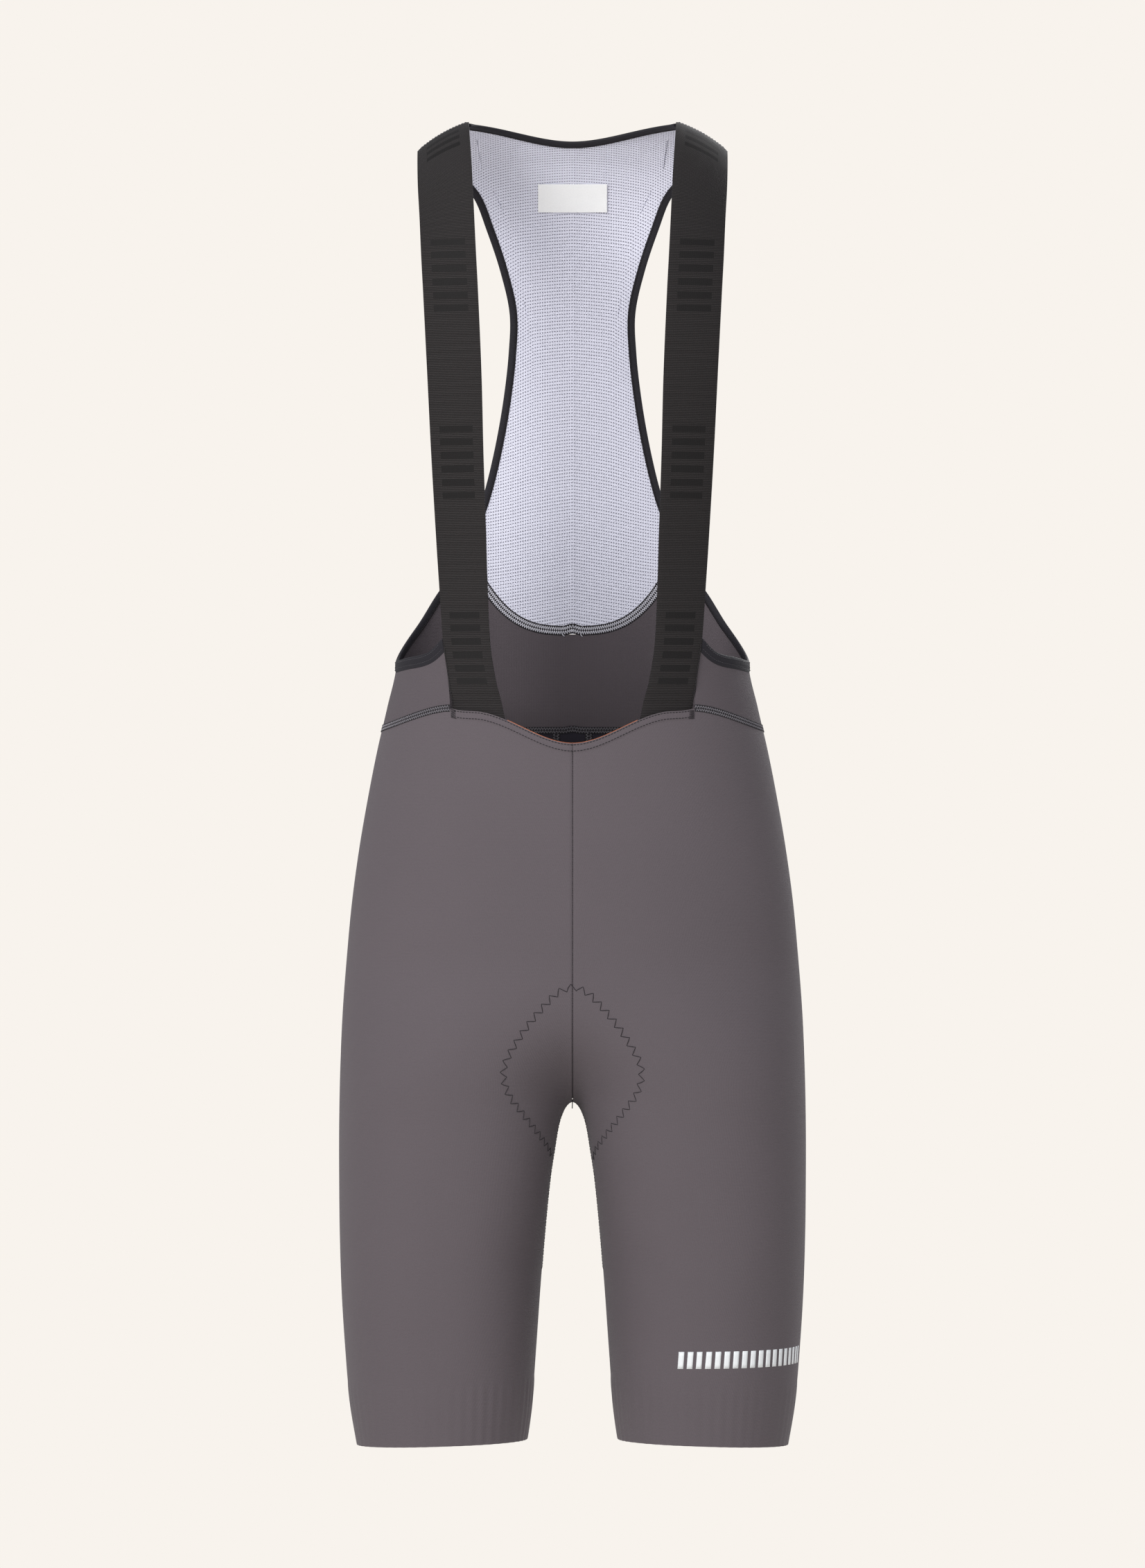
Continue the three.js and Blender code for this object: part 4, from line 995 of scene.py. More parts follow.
def pad_grid(rows=97, columns=56):
    """The pad's outer face, and how thick it is below each point."""
    line = pad_centre_line()
    share = np.linspace(0, 1, rows)
    centre, tangent = line.at(share), line.tangent(share)
    centre[:, 0] = 0
    normal = stack(np.zeros(rows), -tangent[:, 2], tangent[:, 1])
    side_x = np.full(rows, 0.02)
    body = form_normal(side_x, centre[:, 1], centre[:, 2])
    normal = unit(normal) * np.sign(np.einsum("ij,ij->i", normal, body))[:, None]
    in_front = centre[:, 1] < FORM["mid"](centre[:, 2])
    track, lengths = [centre], [np.zeros(rows)]
    depth, going = np.zeros(rows), np.ones(rows, bool)
    for x in np.arange(0.5, 70, 0.5):
        low, high = depth - 2, depth + 14
        for _ in range(20):
            middle = (low + high) / 2
            place = centre + normal * middle[:, None]
            shape = shape_at(place[:, 2])
            beyond = field_at(shape, local_x(shape, np.full(rows, x)), place[:, 1]) > 1
            low, high = np.where(beyond, low, middle), np.where(beyond, middle, high)
        depth = (low + high) / 2
        at = centre + normal * depth[:, None]
        at[:, 0] = x
        at = np.where(going[:, None], at, track[-1])
        lengths.append(lengths[-1] + np.linalg.norm(at - track[-1], axis=1))
        track.append(at)
        half = np.where(in_front, PAD_FRONT(at[:, 2]), PAD_BACK(at[:, 2]))
        going &= x < half
    track, lengths = np.array(track), np.array(lengths)
    v = np.linspace(-1, 1, columns + 1)
    ends = line.length * np.minimum(share, 1 - share)
    at = np.empty((rows, columns + 1, 3))
    thick = np.empty((rows, columns + 1))
    for r in range(rows):
        total = lengths[-1, r]
        distance = total * np.abs(v) ** PAD["crowding"]
        for axis in range(3):
            at[r, :, axis] = np.interp(distance, lengths[:, r], track[:, r, axis])
        margin = np.minimum(total - distance, ends[r])
        thick[r] = mix(PAD["edge"], PAD["middle"], smooth(margin / PAD["soft_edge"]))
        # Channels run the length of the pad: one in the middle and one on each side
        deep = smooth((margin - 6) / 12)
        for place, width in ((0.0, 3.2), (0.52 * total, 2.2)):
            thick[r] -= 2.0 * deep * np.exp(-((distance - place) / width) ** 2)
    out = form_normal(np.maximum(at[..., 0], 0.02), at[..., 1], at[..., 2])
    flip = np.where(v < 0, -1, 1)
    at[..., 0] *= flip
    out[..., 0] *= flip
    uv = np.stack(np.broadcast_arrays(v * 60 + 70, (share * line.length)[:, None]), axis=-1)
    return at, out, thick, uv


def slab(name, outer, inner, uv, finish):
    """A closed piece between two grids of points."""
    rows, columns = outer.shape[:2]
    count = rows * columns
    top = grid_faces(rows, columns)
    index = np.arange(count).reshape(rows, columns)
    rim = np.concatenate([index[0, :-1], index[:-1, -1], index[-1, :0:-1], index[:0:-1, 0]])
    following = np.roll(rim, -1)
    border = np.stack([rim, rim + count, following + count, following], axis=1)
    points = np.concatenate([outer.reshape(-1, 3), inner.reshape(-1, 3)])
    faces = np.concatenate([top, top[:, ::-1] + count, border])
    a, b, c = (points[faces[:, k]] for k in range(3))
    d = points[faces[:, 3]]
    volume = np.einsum("ij,ij->", a, np.cross(b, c)) + np.einsum("ij,ij->", a, np.cross(c, d))
    obj = new_object(name, points, faces if volume > 0 else faces[:, ::-1],
                     np.concatenate([uv.reshape(-1, 2)] * 2))
    obj.data.materials.append(finish)
    return obj


# Lines that are sewn

def bound_line(curve, hand, width, depth, begin, end, lift, inside=False):
    """A line at a share of a binding's width from its open edge."""
    u = np.linspace(begin, end, 300)
    at, out = from_edge(curve, u, depth * width(u), hand)
    return SewingLine(at, out, lift, inside)


def neckline_point(x, below):
    """On the front panels, at a distance below their upper edge."""
    x = np.asarray(x, float)
    rough = stack(x, -np.ones_like(x), np.zeros_like(x))
    return body_point(x, top_edge(rough) - below, -1)


def centre_notch(at, height=1.7, width=3.8):
    """Lifts the middle of a seam in a small peak."""
    at = at.copy()
    at[..., 2] += height * np.exp(-(at[..., 0] / width) ** 2)
    return at


def pad_outline(outline, facing, top):
    z = mix(-746, top, np.linspace(0, 1, 160) ** 0.7)
    half = outline(z)
    x = np.concatenate([half, -half[::-1]])
    z = np.concatenate([z, z[::-1]])
    at, out = body_point(x, z, facing)
    return SewingLine(at, out, 0.05)


# Finishes

def plain(rgb):
    """A colour given as it looks on screen, 0 to 255, as Blender's linear values."""
    c = np.array(rgb, float) / 255
    return (*np.where(c <= 0.04045, c / 12.92, ((c + 0.055) / 1.055) ** 2.4), 1.0)


class Nodes:
    """Short calls that place and join the nodes of one tree."""

    def __init__(self, tree):
        self.tree = tree
        tree.nodes.clear()

    def add(self, kind, inputs=None, **settings):
        node = self.tree.nodes.new(kind)
        for key, value in settings.items():
            setattr(node, key, value)
        for key, value in (inputs or {}).items():
            self.feed(node.inputs[key], value)
        return node

    def feed(self, socket, value):
        if isinstance(value, bpy.types.NodeSocket):
            self.tree.links.new(value, socket)
        else:
            socket.default_value = value

    def math(self, operation, a, b=0.0, clamp=False):
        return self.add("ShaderNodeMath", {0: a, 1: b}, operation=operation,
                        use_clamp=clamp).outputs[0]

    def plus(self, a, b):
        return self.math("ADD", a, b)

    def minus(self, a, b):
        return self.math("SUBTRACT", a, b)

    def times(self, a, b):
        return self.math("MULTIPLY", a, b)

    def over(self, a, b):
        return self.math("DIVIDE", a, b)

    def remap(self, value, low, high, to_low=0.0, to_high=1.0):
        return self.add("ShaderNodeMapRange", {
            "Value": value, "From Min": low, "From Max": high,
            "To Min": to_low, "To Max": to_high}).outputs[0]

    def colour_mix(self, share, a, b):
        node = self.add("ShaderNodeMix", {0: share}, data_type="RGBA")
        self.feed(node.inputs[6], a)
        self.feed(node.inputs[7], b)
        return node.outputs[2]


def group(name, inputs, outputs, build):
    """A node group with named sockets, made once."""
    tree = bpy.data.node_groups.new(name, "ShaderNodeTree")
    for label, kind, default in inputs:
        socket = tree.interface.new_socket(label, in_out="INPUT", socket_type=kind)
        if default is not None:
            socket.default_value = default
    for label, kind in outputs:
        tree.interface.new_socket(label, in_out="OUTPUT", socket_type=kind)
    nodes = Nodes(tree)
    given = nodes.add("NodeGroupInput").outputs
    made = build(nodes, given)
    end = nodes.add("NodeGroupOutput")
    for label, value in made.items():
        nodes.feed(end.inputs[label], value)
    return tree


FLOAT, COLOUR, VECTOR = "NodeSocketFloat", "NodeSocketColor", "NodeSocketVector"


def knit_grain(nodes, given):
    """Fine knitted wales with uneven yarns."""
    split = nodes.add("ShaderNodeSeparateXYZ", {0: given["Cloth"]}).outputs
    across = nodes.times(split[0], given["Wales per metre"])
    along = nodes.times(split[1], given["Wales per metre"])
    wale = nodes.math("SINE", nodes.times(across, 2 * np.pi))
    course = nodes.math("SINE", nodes.times(along, 2 * np.pi * 0.7))
    yarn = nodes.add("ShaderNodeTexNoise", {
        "Vector": given["Cloth"], "Scale": given["Yarn scale"], "Detail": 3.0,
        "Roughness": 0.6}).outputs["Fac"]
    loops = nodes.times(nodes.plus(wale, nodes.times(course, 0.6)), 0.3)
    height = nodes.plus(loops, yarn)
    return {"Height": height, "Yarn": yarn}


def cloth_tone(nodes, given):
    """A cloth's colour with soft patches and uneven yarns."""
    patches = nodes.add("ShaderNodeTexNoise", {
        "Vector": given["Place"], "Scale": 9.0, "Detail": 4.0, "Roughness": 0.55}).outputs["Fac"]
    patch = nodes.remap(patches, 0.3, 0.7, -1.0, 1.0)
    yarn = nodes.remap(given["Yarn"], 0.3, 0.7, -1.0, 1.0)
    change = nodes.plus(nodes.times(patch, given["Patchiness"]),
                        nodes.times(yarn, given["Unevenness"]))
    shade = nodes.add("ShaderNodeHueSaturation", {
        "Color": given["Colour"], "Value": nodes.plus(change, 1.0),
        "Saturation": 1.0}).outputs[0]
    rough = nodes.math("ADD", given["Roughness"], nodes.times(change, 0.5), clamp=True)
    return {"Colour": shade, "Roughness": rough}


def hole_lattice(nodes, given):
    """Rows of pin holes: 1 in a hole and 0 between."""
    split = nodes.add("ShaderNodeSeparateXYZ", {0: given["Cloth"]}).outputs
    x = nodes.over(split[0], given["Pitch across"])
    y = nodes.over(split[1], given["Pitch along"])
    dx = nodes.minus(nodes.math("FRACT", x), 0.5)
    dy = nodes.minus(nodes.math("FRACT", y), 0.5)
    wide = nodes.times(dx, given["Pitch across"])
    tall = nodes.times(nodes.times(dy, given["Pitch along"]), given["Flatness"])
    near = nodes.math("SQRT", nodes.plus(nodes.times(wide, wide), nodes.times(tall, tall)))
    inner = nodes.times(given["Hole radius"], 0.75)
    outer = nodes.times(given["Hole radius"], 1.35)
    return {"Hole": nodes.remap(near, outer, inner)}


def cross_ribs(nodes, given):
    """Rows of weft cords across a webbing, each a little uneven."""
    split = nodes.add("ShaderNodeSeparateXYZ", {0: given["Cloth"]}).outputs
    wobble = nodes.add("ShaderNodeTexNoise", {
        "Vector": given["Cloth"], "Scale": 260.0, "Detail": 2.0}).outputs["Fac"]
    along = nodes.plus(nodes.times(split[1], given["Ribs per metre"]),
                       nodes.times(wobble, given["Wobble"]))
    rib = nodes.math("SINE", nodes.times(along, 2 * np.pi))
    return {"Rib": nodes.remap(rib, -1.0, 1.0), "Uneven": wobble}


def woven_bars(nodes, given):
    """Groups of plain bars across a webbing: 1 on a bar and 0 beside it."""
    split = nodes.add("ShaderNodeSeparateXYZ", {0: given["Cloth"]}).outputs
    bar = nodes.math("FRACT", nodes.over(split[1], given["Bar pitch"]))
    period = nodes.times(given["Bar pitch"], given["Bars to a repeat"])
    turn = nodes.math("FRACT", nodes.over(split[1], period))
    shown = nodes.over(given["Bars shown"], given["Bars to a repeat"])
    far = nodes.minus(given["Width"], given["Margin"])
    mask = nodes.math("LESS_THAN", bar, given["Bar share"])
    for test in (nodes.math("LESS_THAN", turn, shown),
                 nodes.math("GREATER_THAN", split[0], given["Margin"]),
                 nodes.math("LESS_THAN", split[0], far)):
        mask = nodes.times(mask, test)
    return {"Bar": mask}


class Finishes:
    """Every material of the part, made when it is first asked for."""

    def __init__(self):
        self.made = {}
        self.groups = {
            "grain": group("Knit grain", [
                ("Cloth", VECTOR, None), ("Wales per metre", FLOAT, 1400.0),
                ("Yarn scale", FLOAT, 900.0)],
                [("Height", FLOAT), ("Yarn", FLOAT)], knit_grain),
            "tone": group("Cloth tone", [
                ("Colour", COLOUR, None), ("Place", VECTOR, None), ("Yarn", FLOAT, 0.5),
                ("Patchiness", FLOAT, 0.05), ("Unevenness", FLOAT, 0.06),
                ("Roughness", FLOAT, 0.8)],
                [("Colour", COLOUR), ("Roughness", FLOAT)], cloth_tone),
            "holes": group("Hole lattice", [
                ("Cloth", VECTOR, None), ("Pitch across", FLOAT, 0.0018),
                ("Pitch along", FLOAT, 0.00245), ("Hole radius", FLOAT, 0.00042),
                ("Flatness", FLOAT, 1.35)],
                [("Hole", FLOAT)], hole_lattice),
            "ribs": group("Cross ribs", [
                ("Cloth", VECTOR, None), ("Ribs per metre", FLOAT, 900.0),
                ("Wobble", FLOAT, 0.3)],
                [("Rib", FLOAT), ("Uneven", FLOAT)], cross_ribs),
            "bars": group("Woven bars", [
                ("Cloth", VECTOR, None), ("Bar pitch", FLOAT, 0.0095),
                ("Bar share", FLOAT, 0.5), ("Bars shown", FLOAT, 6.0),
                ("Bars to a repeat", FLOAT, 14.0), ("Width", FLOAT, 0.0375),
                ("Margin", FLOAT, 0.007)],
                [("Bar", FLOAT)], woven_bars),
        }

    def use(self, nodes, name, **inputs):
        node = nodes.add("ShaderNodeGroup", node_tree=self.groups[name])
        for key, value in inputs.items():
            nodes.feed(node.inputs[key.replace("_", " ")], value)
        return node.outputs

    def cloth(self, name, colour, roughness=0.8, sheen=0.0, wales=1400.0, yarn=900.0,
              patchiness=0.05, unevenness=0.06, bump=0.00012, specular=0.3, detail=None):
        """A cloth material. detail(self, nodes, cloth, colour, height) may change both."""
        if name in self.made:
            return self.made[name]
        material = bpy.data.materials.new(name)
        material.use_nodes = True
        nodes = Nodes(material.node_tree)
        place = nodes.add("ShaderNodeTexCoord").outputs["Object"]
        cloth = nodes.add("ShaderNodeUVMap", uv_map="Cloth").outputs[0]
        grain = self.use(nodes, "grain", Cloth=cloth, Wales_per_metre=wales, Yarn_scale=yarn)
        base, height = plain(colour), grain["Height"]
        if detail:
            base, height = detail(self, nodes, cloth, base, height)
        tone = self.use(nodes, "tone", Colour=base, Place=place, Yarn=grain["Yarn"],
                        Patchiness=patchiness, Unevenness=unevenness, Roughness=roughness)
        bumped = nodes.add("ShaderNodeBump", {
            "Height": height, "Distance": bump, "Strength": 1.0}).outputs[0]
        shader = nodes.add("ShaderNodeBsdfPrincipled", {
            "Base Color": tone["Colour"], "Roughness": tone["Roughness"], "Normal": bumped,
            "Specular IOR Level": specular, "Sheen Weight": sheen, "Sheen Roughness": 0.45})
        out = nodes.add("ShaderNodeOutputMaterial")
        nodes.feed(out.inputs[0], shader.outputs[0])
        self.made[name] = material
        return material


def webbing_detail(finishes, nodes, cloth, colour, height):
    """Fine weft ribs across the webbing, with smooth bars woven in. The crests of the ribs are
    painted lighter, a painted highlight.
    """
    ribs = finishes.use(nodes, "ribs", Cloth=cloth, Ribs_per_metre=820.0, Wobble=0.35)
    bar = finishes.use(nodes, "bars", Cloth=cloth)["Bar"]
    rib = nodes.times(ribs["Rib"], nodes.minus(1.0, bar))
    # Painted highlight: the crests of the ribs, where they stand highest, are mixed towards a
    # lighter colour
    light = nodes.colour_mix(nodes.times(rib, 0.6), colour, plain((58, 54, 54)))
    height = nodes.plus(rib, nodes.times(height, 0.3))
    return light, nodes.plus(height, nodes.times(bar, 0.5))


def mesh_detail(finishes, nodes, cloth, colour, height):
    """Rows of pin holes in the mesh."""
    hole = finishes.use(nodes, "holes", Cloth=cloth)["Hole"]
    dotted = nodes.colour_mix(nodes.times(hole, 0.85), colour, plain((104, 101, 122)))
    return dotted, nodes.minus(height, nodes.times(hole, 2.5))


# What a user would change

class BibShortsSizes(bpy.types.PropertyGroup):
    knit_thickness: bpy.props.FloatProperty(
        name="Knit thickness", description="Thickness of the knit panels, in millimetres",
        default=1.2, min=1.0, max=3.0)
    mesh_thickness: bpy.props.FloatProperty(
        name="Mesh thickness", description="Thickness of the mesh back, in millimetres",
        default=1.0, min=1.0, max=3.0)
    webbing_thickness: bpy.props.FloatProperty(
        name="Webbing thickness", description="Thickness of the straps, in millimetres",
        default=1.4, min=1.0, max=3.0)
    camera_distance: bpy.props.FloatProperty(
        name="Camera distance", description="From the camera to the middle of the garment",
        default=6.0, min=2.0, max=20.0, unit="LENGTH")
    picture_height: bpy.props.FloatProperty(
        name="Picture height", description="What the picture takes in from bottom to top",
        default=1.131, min=0.5, max=3.0, unit="LENGTH")


def colour_property(name, description, rgb):
    return bpy.props.IntVectorProperty(
        name=name, description=description, default=rgb, size=3, min=0, max=255)


class BibShortsColours(bpy.types.PropertyGroup):
    knit: colour_property("Knit", "Outer face of the leg panels", (84, 77, 81))
    # Painted shade: this colour is darker than the knit partly for the reverse's own tone and
    # partly as painted shade inside the garment
    reverse_and_shade: colour_property("Knit reverse and shade", "Inner face of the leg panels", (40, 37, 46))
    yoke: colour_property("Yoke", "Back yoke, both faces", (79, 72, 76))
    mesh: colour_property("Mesh", "Mesh back", (224, 224, 238))
    webbing: colour_property("Webbing", "Shoulder straps", (20, 18, 18))
    binding: colour_property("Binding", "Folded bindings and bands", (27, 25, 31))
    facing: colour_property("Facing", "Narrow tape inside the front neckline", (176, 104, 72))
    label: colour_property("Label", "Blank neck label", (252, 252, 252))
    pad: colour_property("Pad", "Seat pad", (58, 54, 56))
    pale_thread: colour_property("Pale thread", "Looping thread of the mesh seam", (198, 197, 205))
    grey_thread: colour_property("Grey thread", "Looping thread of the yoke seam", (116, 113, 118))
    dark_thread: colour_property("Dark thread", "All other stitches", (34, 31, 34))
    dim_thread: colour_property("Dim thread", "Looping thread of dark seams", (66, 64, 68))
    seam_tape: colour_property("Seam tape", "Cloth under the coverstitches", (38, 35, 39))
    reflective: colour_property("Reflective", "Dashes on one leg", (212, 215, 217))
    backdrop: colour_property("Backdrop", "The plain ground behind and below", (248, 243, 237))


class GarmentOperator:
    """What the operators of this file share."""
    bl_options = {"REGISTER", "UNDO"}
    sides = (("left", 1), ("right", -1))

    def execute(self, context):
        self.sizes = context.scene.bib_shorts_sizes
        self.colours = context.scene.bib_shorts_colours
        self.build()
        return {"FINISHED"}


FINISHES = Finishes()


class BIB_OT_leg_panels(GarmentOperator, bpy.types.Operator):
    """Two leg panels, each from the hem round the leg and over the hip to the neckline."""
    bl_idname = "bib.leg_panels"
    bl_label = "Leg panels"

    def build(self):
        grid = leg_grid()
        outer = FINISHES.cloth("Main knit", self.colours.knit, sheen=0.06, patchiness=0.03)
        # The inner face's colour is partly the reverse's own tone and partly painted shade inside
        # the garment
        inner = FINISHES.cloth("Knit reverse and shade", self.colours.reverse_and_shade, roughness=0.9)
        for name, side in self.sides:
            leg = shell(f"leg_panel_{name}", grid, self.sizes.knit_thickness, (outer, inner), side)
            carry(leg, "main_knit", f"leg_{name}")


class BIB_OT_seat_strip(GarmentOperator, bpy.types.Operator):
    """The dark strip up the middle of the seat, in the inner face's colour: partly its own dark
    tone, partly painted shade.
    """
    bl_idname = "bib.seat_strip"
    bl_label = "Seat strip"

    def build(self):
        # Painted shade: the strip takes the inner face's colour, which is partly painted shade
        # inside the garment
        finish = FINISHES.cloth("Dark knit and shade", self.colours.reverse_and_shade, roughness=0.88)
        strip = shell("seat_strip_panel", strip_grid(), self.sizes.knit_thickness, (finish,))
        carry(strip, "dark_knit", "seat_strip")


class BIB_OT_back_yoke(GarmentOperator, bpy.types.Operator):
    """The yoke from strap to strap round the back."""
    bl_idname = "bib.back_yoke"
    bl_label = "Back yoke"

    def build(self):
        finish = FINISHES.cloth("Yoke knit", self.colours.yoke, sheen=0.04, patchiness=0.03)
        yoke = shell("back_yoke_panel", yoke_grid(), self.sizes.knit_thickness, (finish,))
        carry(yoke, "yoke_knit", "back_yoke")


class BIB_OT_mesh_back(GarmentOperator, bpy.types.Operator):
    """The mesh panel up the back, over to the shoulders."""
    bl_idname = "bib.mesh_back"
    bl_label = "Mesh back"

    def build(self):
        finish = FINISHES.cloth(
            "Dotted mesh", self.colours.mesh, roughness=0.85, wales=1100.0, patchiness=0.02,
            unevenness=0.03, bump=0.0003, detail=mesh_detail)
        panel = shell("mesh_back_panel", mesh_grid(), self.sizes.mesh_thickness, (finish,))
        carry(panel, "mesh", "mesh_back")


class BIB_OT_straps(GarmentOperator, bpy.types.Operator):
    """Elastic webbing over each shoulder and down the front."""
    bl_idname = "bib.straps"
    bl_label = "Straps"

    def build(self):
        webbing = FINISHES.cloth(
            "Ribbed webbing", self.colours.webbing, roughness=0.7, yarn=1500.0,
            unevenness=0.12, bump=0.0003, specular=0.2, detail=webbing_detail)
        for name, side in self.sides:
            strap = shell(f"strap_webbing_{name}", strap_grid(), self.sizes.webbing_thickness,
                          (webbing,), side)
            carry(strap, "webbing", f"strap_{name}")


class BIB_OT_bindings(GarmentOperator, bpy.types.Operator):
    """Folded bindings round the neck and the armholes, and the bands under the arms."""
    bl_idname = "bib.bindings"
    bl_label = "Bindings"

    def build(self):
        finish = FINISHES.cloth("Folded binding", self.colours.binding, roughness=0.7,
                                wales=1800.0, unevenness=0.08)
        ratios = np.linspace(0, 1, 5)
        starts = np.interp(np.clip(BINDING_PROFILE[:, 0], 0, 1), ratios,
                           [band_start(ratio, 0) for ratio in ratios])
        scoop = mix(starts[None], SIDE_SHARE, np.linspace(0, 1, 61)[:, None]) - BUTT
        armhole = mix(SIDE_SHARE, 1, np.linspace(0, 1, 181)[:, None]) + BUTT
        armhole = np.minimum(armhole, 1 - 1e-4)
        for name, side in self.sides:
            made = band(f"scoop_fold_{name}", ARMHOLE, ARMHOLE_HAND, scoop, band_width,
                        finish, side)
            carry(made, "binding", f"scoop_band_{name}")
            made = band(f"armhole_fold_{name}", ARMHOLE, ARMHOLE_HAND, armhole, band_width,
                        finish, side)
            carry(made, "binding", f"armhole_binding_{name}")
        neck = band("neck_fold", NECK, NECK_HAND, np.linspace(0, 1, 121)[:, None],
                    neck_width, finish)
        carry(neck, "binding", "neck_binding")


class BIB_OT_facing_and_label(GarmentOperator, bpy.types.Operator):
    """The narrow tape inside the front neckline, and the blank label inside the mesh."""
    bl_idname = "bib.facing_and_label"
    bl_label = "Facing and label"

    def build(self):
        woven = FINISHES.cloth("Woven tape", self.colours.facing, roughness=0.55, wales=2500.0)
        tape = shell("neckline_tape", facing_grid(), 1.0, (woven,))
        carry(tape, "facing_tape", "front_facing")
        satin = FINISHES.cloth("Blank satin", self.colours.label, roughness=0.5, unevenness=0.02,
                               wales=3000.0)
        label = shell("neck_label", label_grid(), 0.8, (satin,))
        carry(label, "label", "back_label")


class BIB_OT_seat_pad(GarmentOperator, bpy.types.Operator):
    """The seat pad inside, astride the crotch."""
    bl_idname = "bib.seat_pad"
    bl_label = "Seat pad"

    def build(self):
        at, out, thick, uv = pad_grid()
        outer = at - out * (self.sizes.knit_thickness + PAD["clearance"])
        finish = FINISHES.cloth("Brushed pad", self.colours.pad, roughness=0.95, sheen=0.2,
                                yarn=500.0, unevenness=0.12, bump=0.0004)
        pad = slab("seat_pad_cushion", outer, outer - out * thick[..., None], uv, finish)
        carry(pad, "pad", "seat_pad")


class SewingOperator(GarmentOperator):
    """What the sewing steps share: the threads, and how a piece of sewing is finished."""

    def seam_line(self, at, out, inside):
        """A seam's line, just over the outer face of the knit or its inner one."""
        return SewingLine(at, out, self.sizes.knit_thickness + 0.1 if inside else 0.12, inside)

    def binding_teeth(self, sewing, curve, hand, width, begin):
        """The small zigzag along a binding's sewn edge, on both faces."""
        for inside, lift in ((False, 0.66), (True, 1.78)):
            line = bound_line(curve, hand, width, 0.88, begin, 0.995, lift, inside)
            sewing.zigzag(line, DARK, *BINDING_ZIGZAG)

    def sewn(self, name, sewing, side=1, slot="binding"):
        colours = self.colours
        finishes = [
            FINISHES.cloth(label, colour, roughness=0.7, wales=2600.0, patchiness=0.0,
                           unevenness=0.1, bump=0.0001)
            for label, colour in (
                ("Pale thread", colours.pale_thread), ("Grey thread", colours.grey_thread),
                ("Dark thread", colours.dark_thread), ("Seam tape", colours.seam_tape),
                ("Dim thread", colours.dim_thread))]
        carry(sewing.finished(name, finishes, side), slot)


class BIB_OT_seams(SewingOperator, bpy.types.Operator):
    """Coverstitched seams of the yoke, the mesh back and the seat strip."""
    bl_idname = "bib.seams"
    bl_label = "Seams"

    def build(self):
        knit = self.sizes.knit_thickness
        at, out = mesh_seam(np.linspace(-CORNER_X, CORNER_X, 241), 0)
        at = centre_notch(at)
        at[:, 2] += MESH_SEAM["bow"] * (1 - (at[:, 0] / CORNER_X) ** 2)
        sewing = Sewing()
        for inside, loops in ((True, PALE), (False, GREY)):
            line = self.seam_line(at, out, inside)
            sewing.tape(line, 7.0, TAPE, steps=3)
            sewing.cover(line, loops, DARK, *MESH_COVER)
        end = SewingLine(at, out, knit + 0.5, True)
        for place in (-7, 7):
            middle = end.length / 2 + place
            for low in (-4.4, 2.9):
                sewing.stitches(end, middle - 0.6, middle + 0.6, low, low + 1.5, PALE, 0.35, 0.5)
        self.sewn("mesh_seam_sewing", sewing)

        grid_at, grid_out, _ = yoke_grid()
        at, out = centre_notch(grid_at[0], 1.0, 4.0), grid_out[0]
        at[:, 2] -= SEAM / 2
        sewing = Sewing()
        for inside in (False, True):
            line = self.seam_line(at, out, inside)
            sewing.tape(line, 5.0, TAPE)
            sewing.cover(line, GREY, DARK, *YOKE_COVER)
        self.sewn("yoke_seam_sewing", sewing)

        strip_at, strip_out, _ = strip_grid()
        sewing = Sewing()
        for column in (0, -1):
            for inside in (False, True):
                line = self.seam_line(strip_at[4:, column], strip_out[4:, column], inside)
                sewing.tape(line, 5.4, TAPE)
                sewing.cover(line, GREY if inside else DIM, DARK, *STRIP_COVER)
        self.sewn("seat_strip_sewing", sewing)

        z = np.linspace(-447.5, -702, 160)
        at, out = body_point(np.zeros_like(z), z, -1)
        sewing = Sewing()
        inner = SewingLine(at, out, knit + 0.15, True)
        sewing.tape(inner, 5.0, TAPE)
        sewing.cover(inner, DIM, DARK, *FRONT_COVER)
        sewing.row(SewingLine(at, out), 0, DARK, *FRONT_ROW)
        self.sewn("front_seam_sewing", sewing)

        z = np.linspace(-712, -951, 150)
        at, out = section_point(z, np.zeros_like(z))
        for name, side in self.sides:
            sewing = Sewing()
            sewing.tape(SewingLine(at, out, knit + 0.15, True), 5.0, TAPE)
            outer = SewingLine(at, out)
            for offset in (-2.2, 2.2):
                sewing.row(outer, offset, DARK, *INSEAM_ROW)
            sewing.zigzag(outer, DARK, *INSEAM_ZIGZAG)
            self.sewn(f"inseam_sewing_{name}", sewing, side)


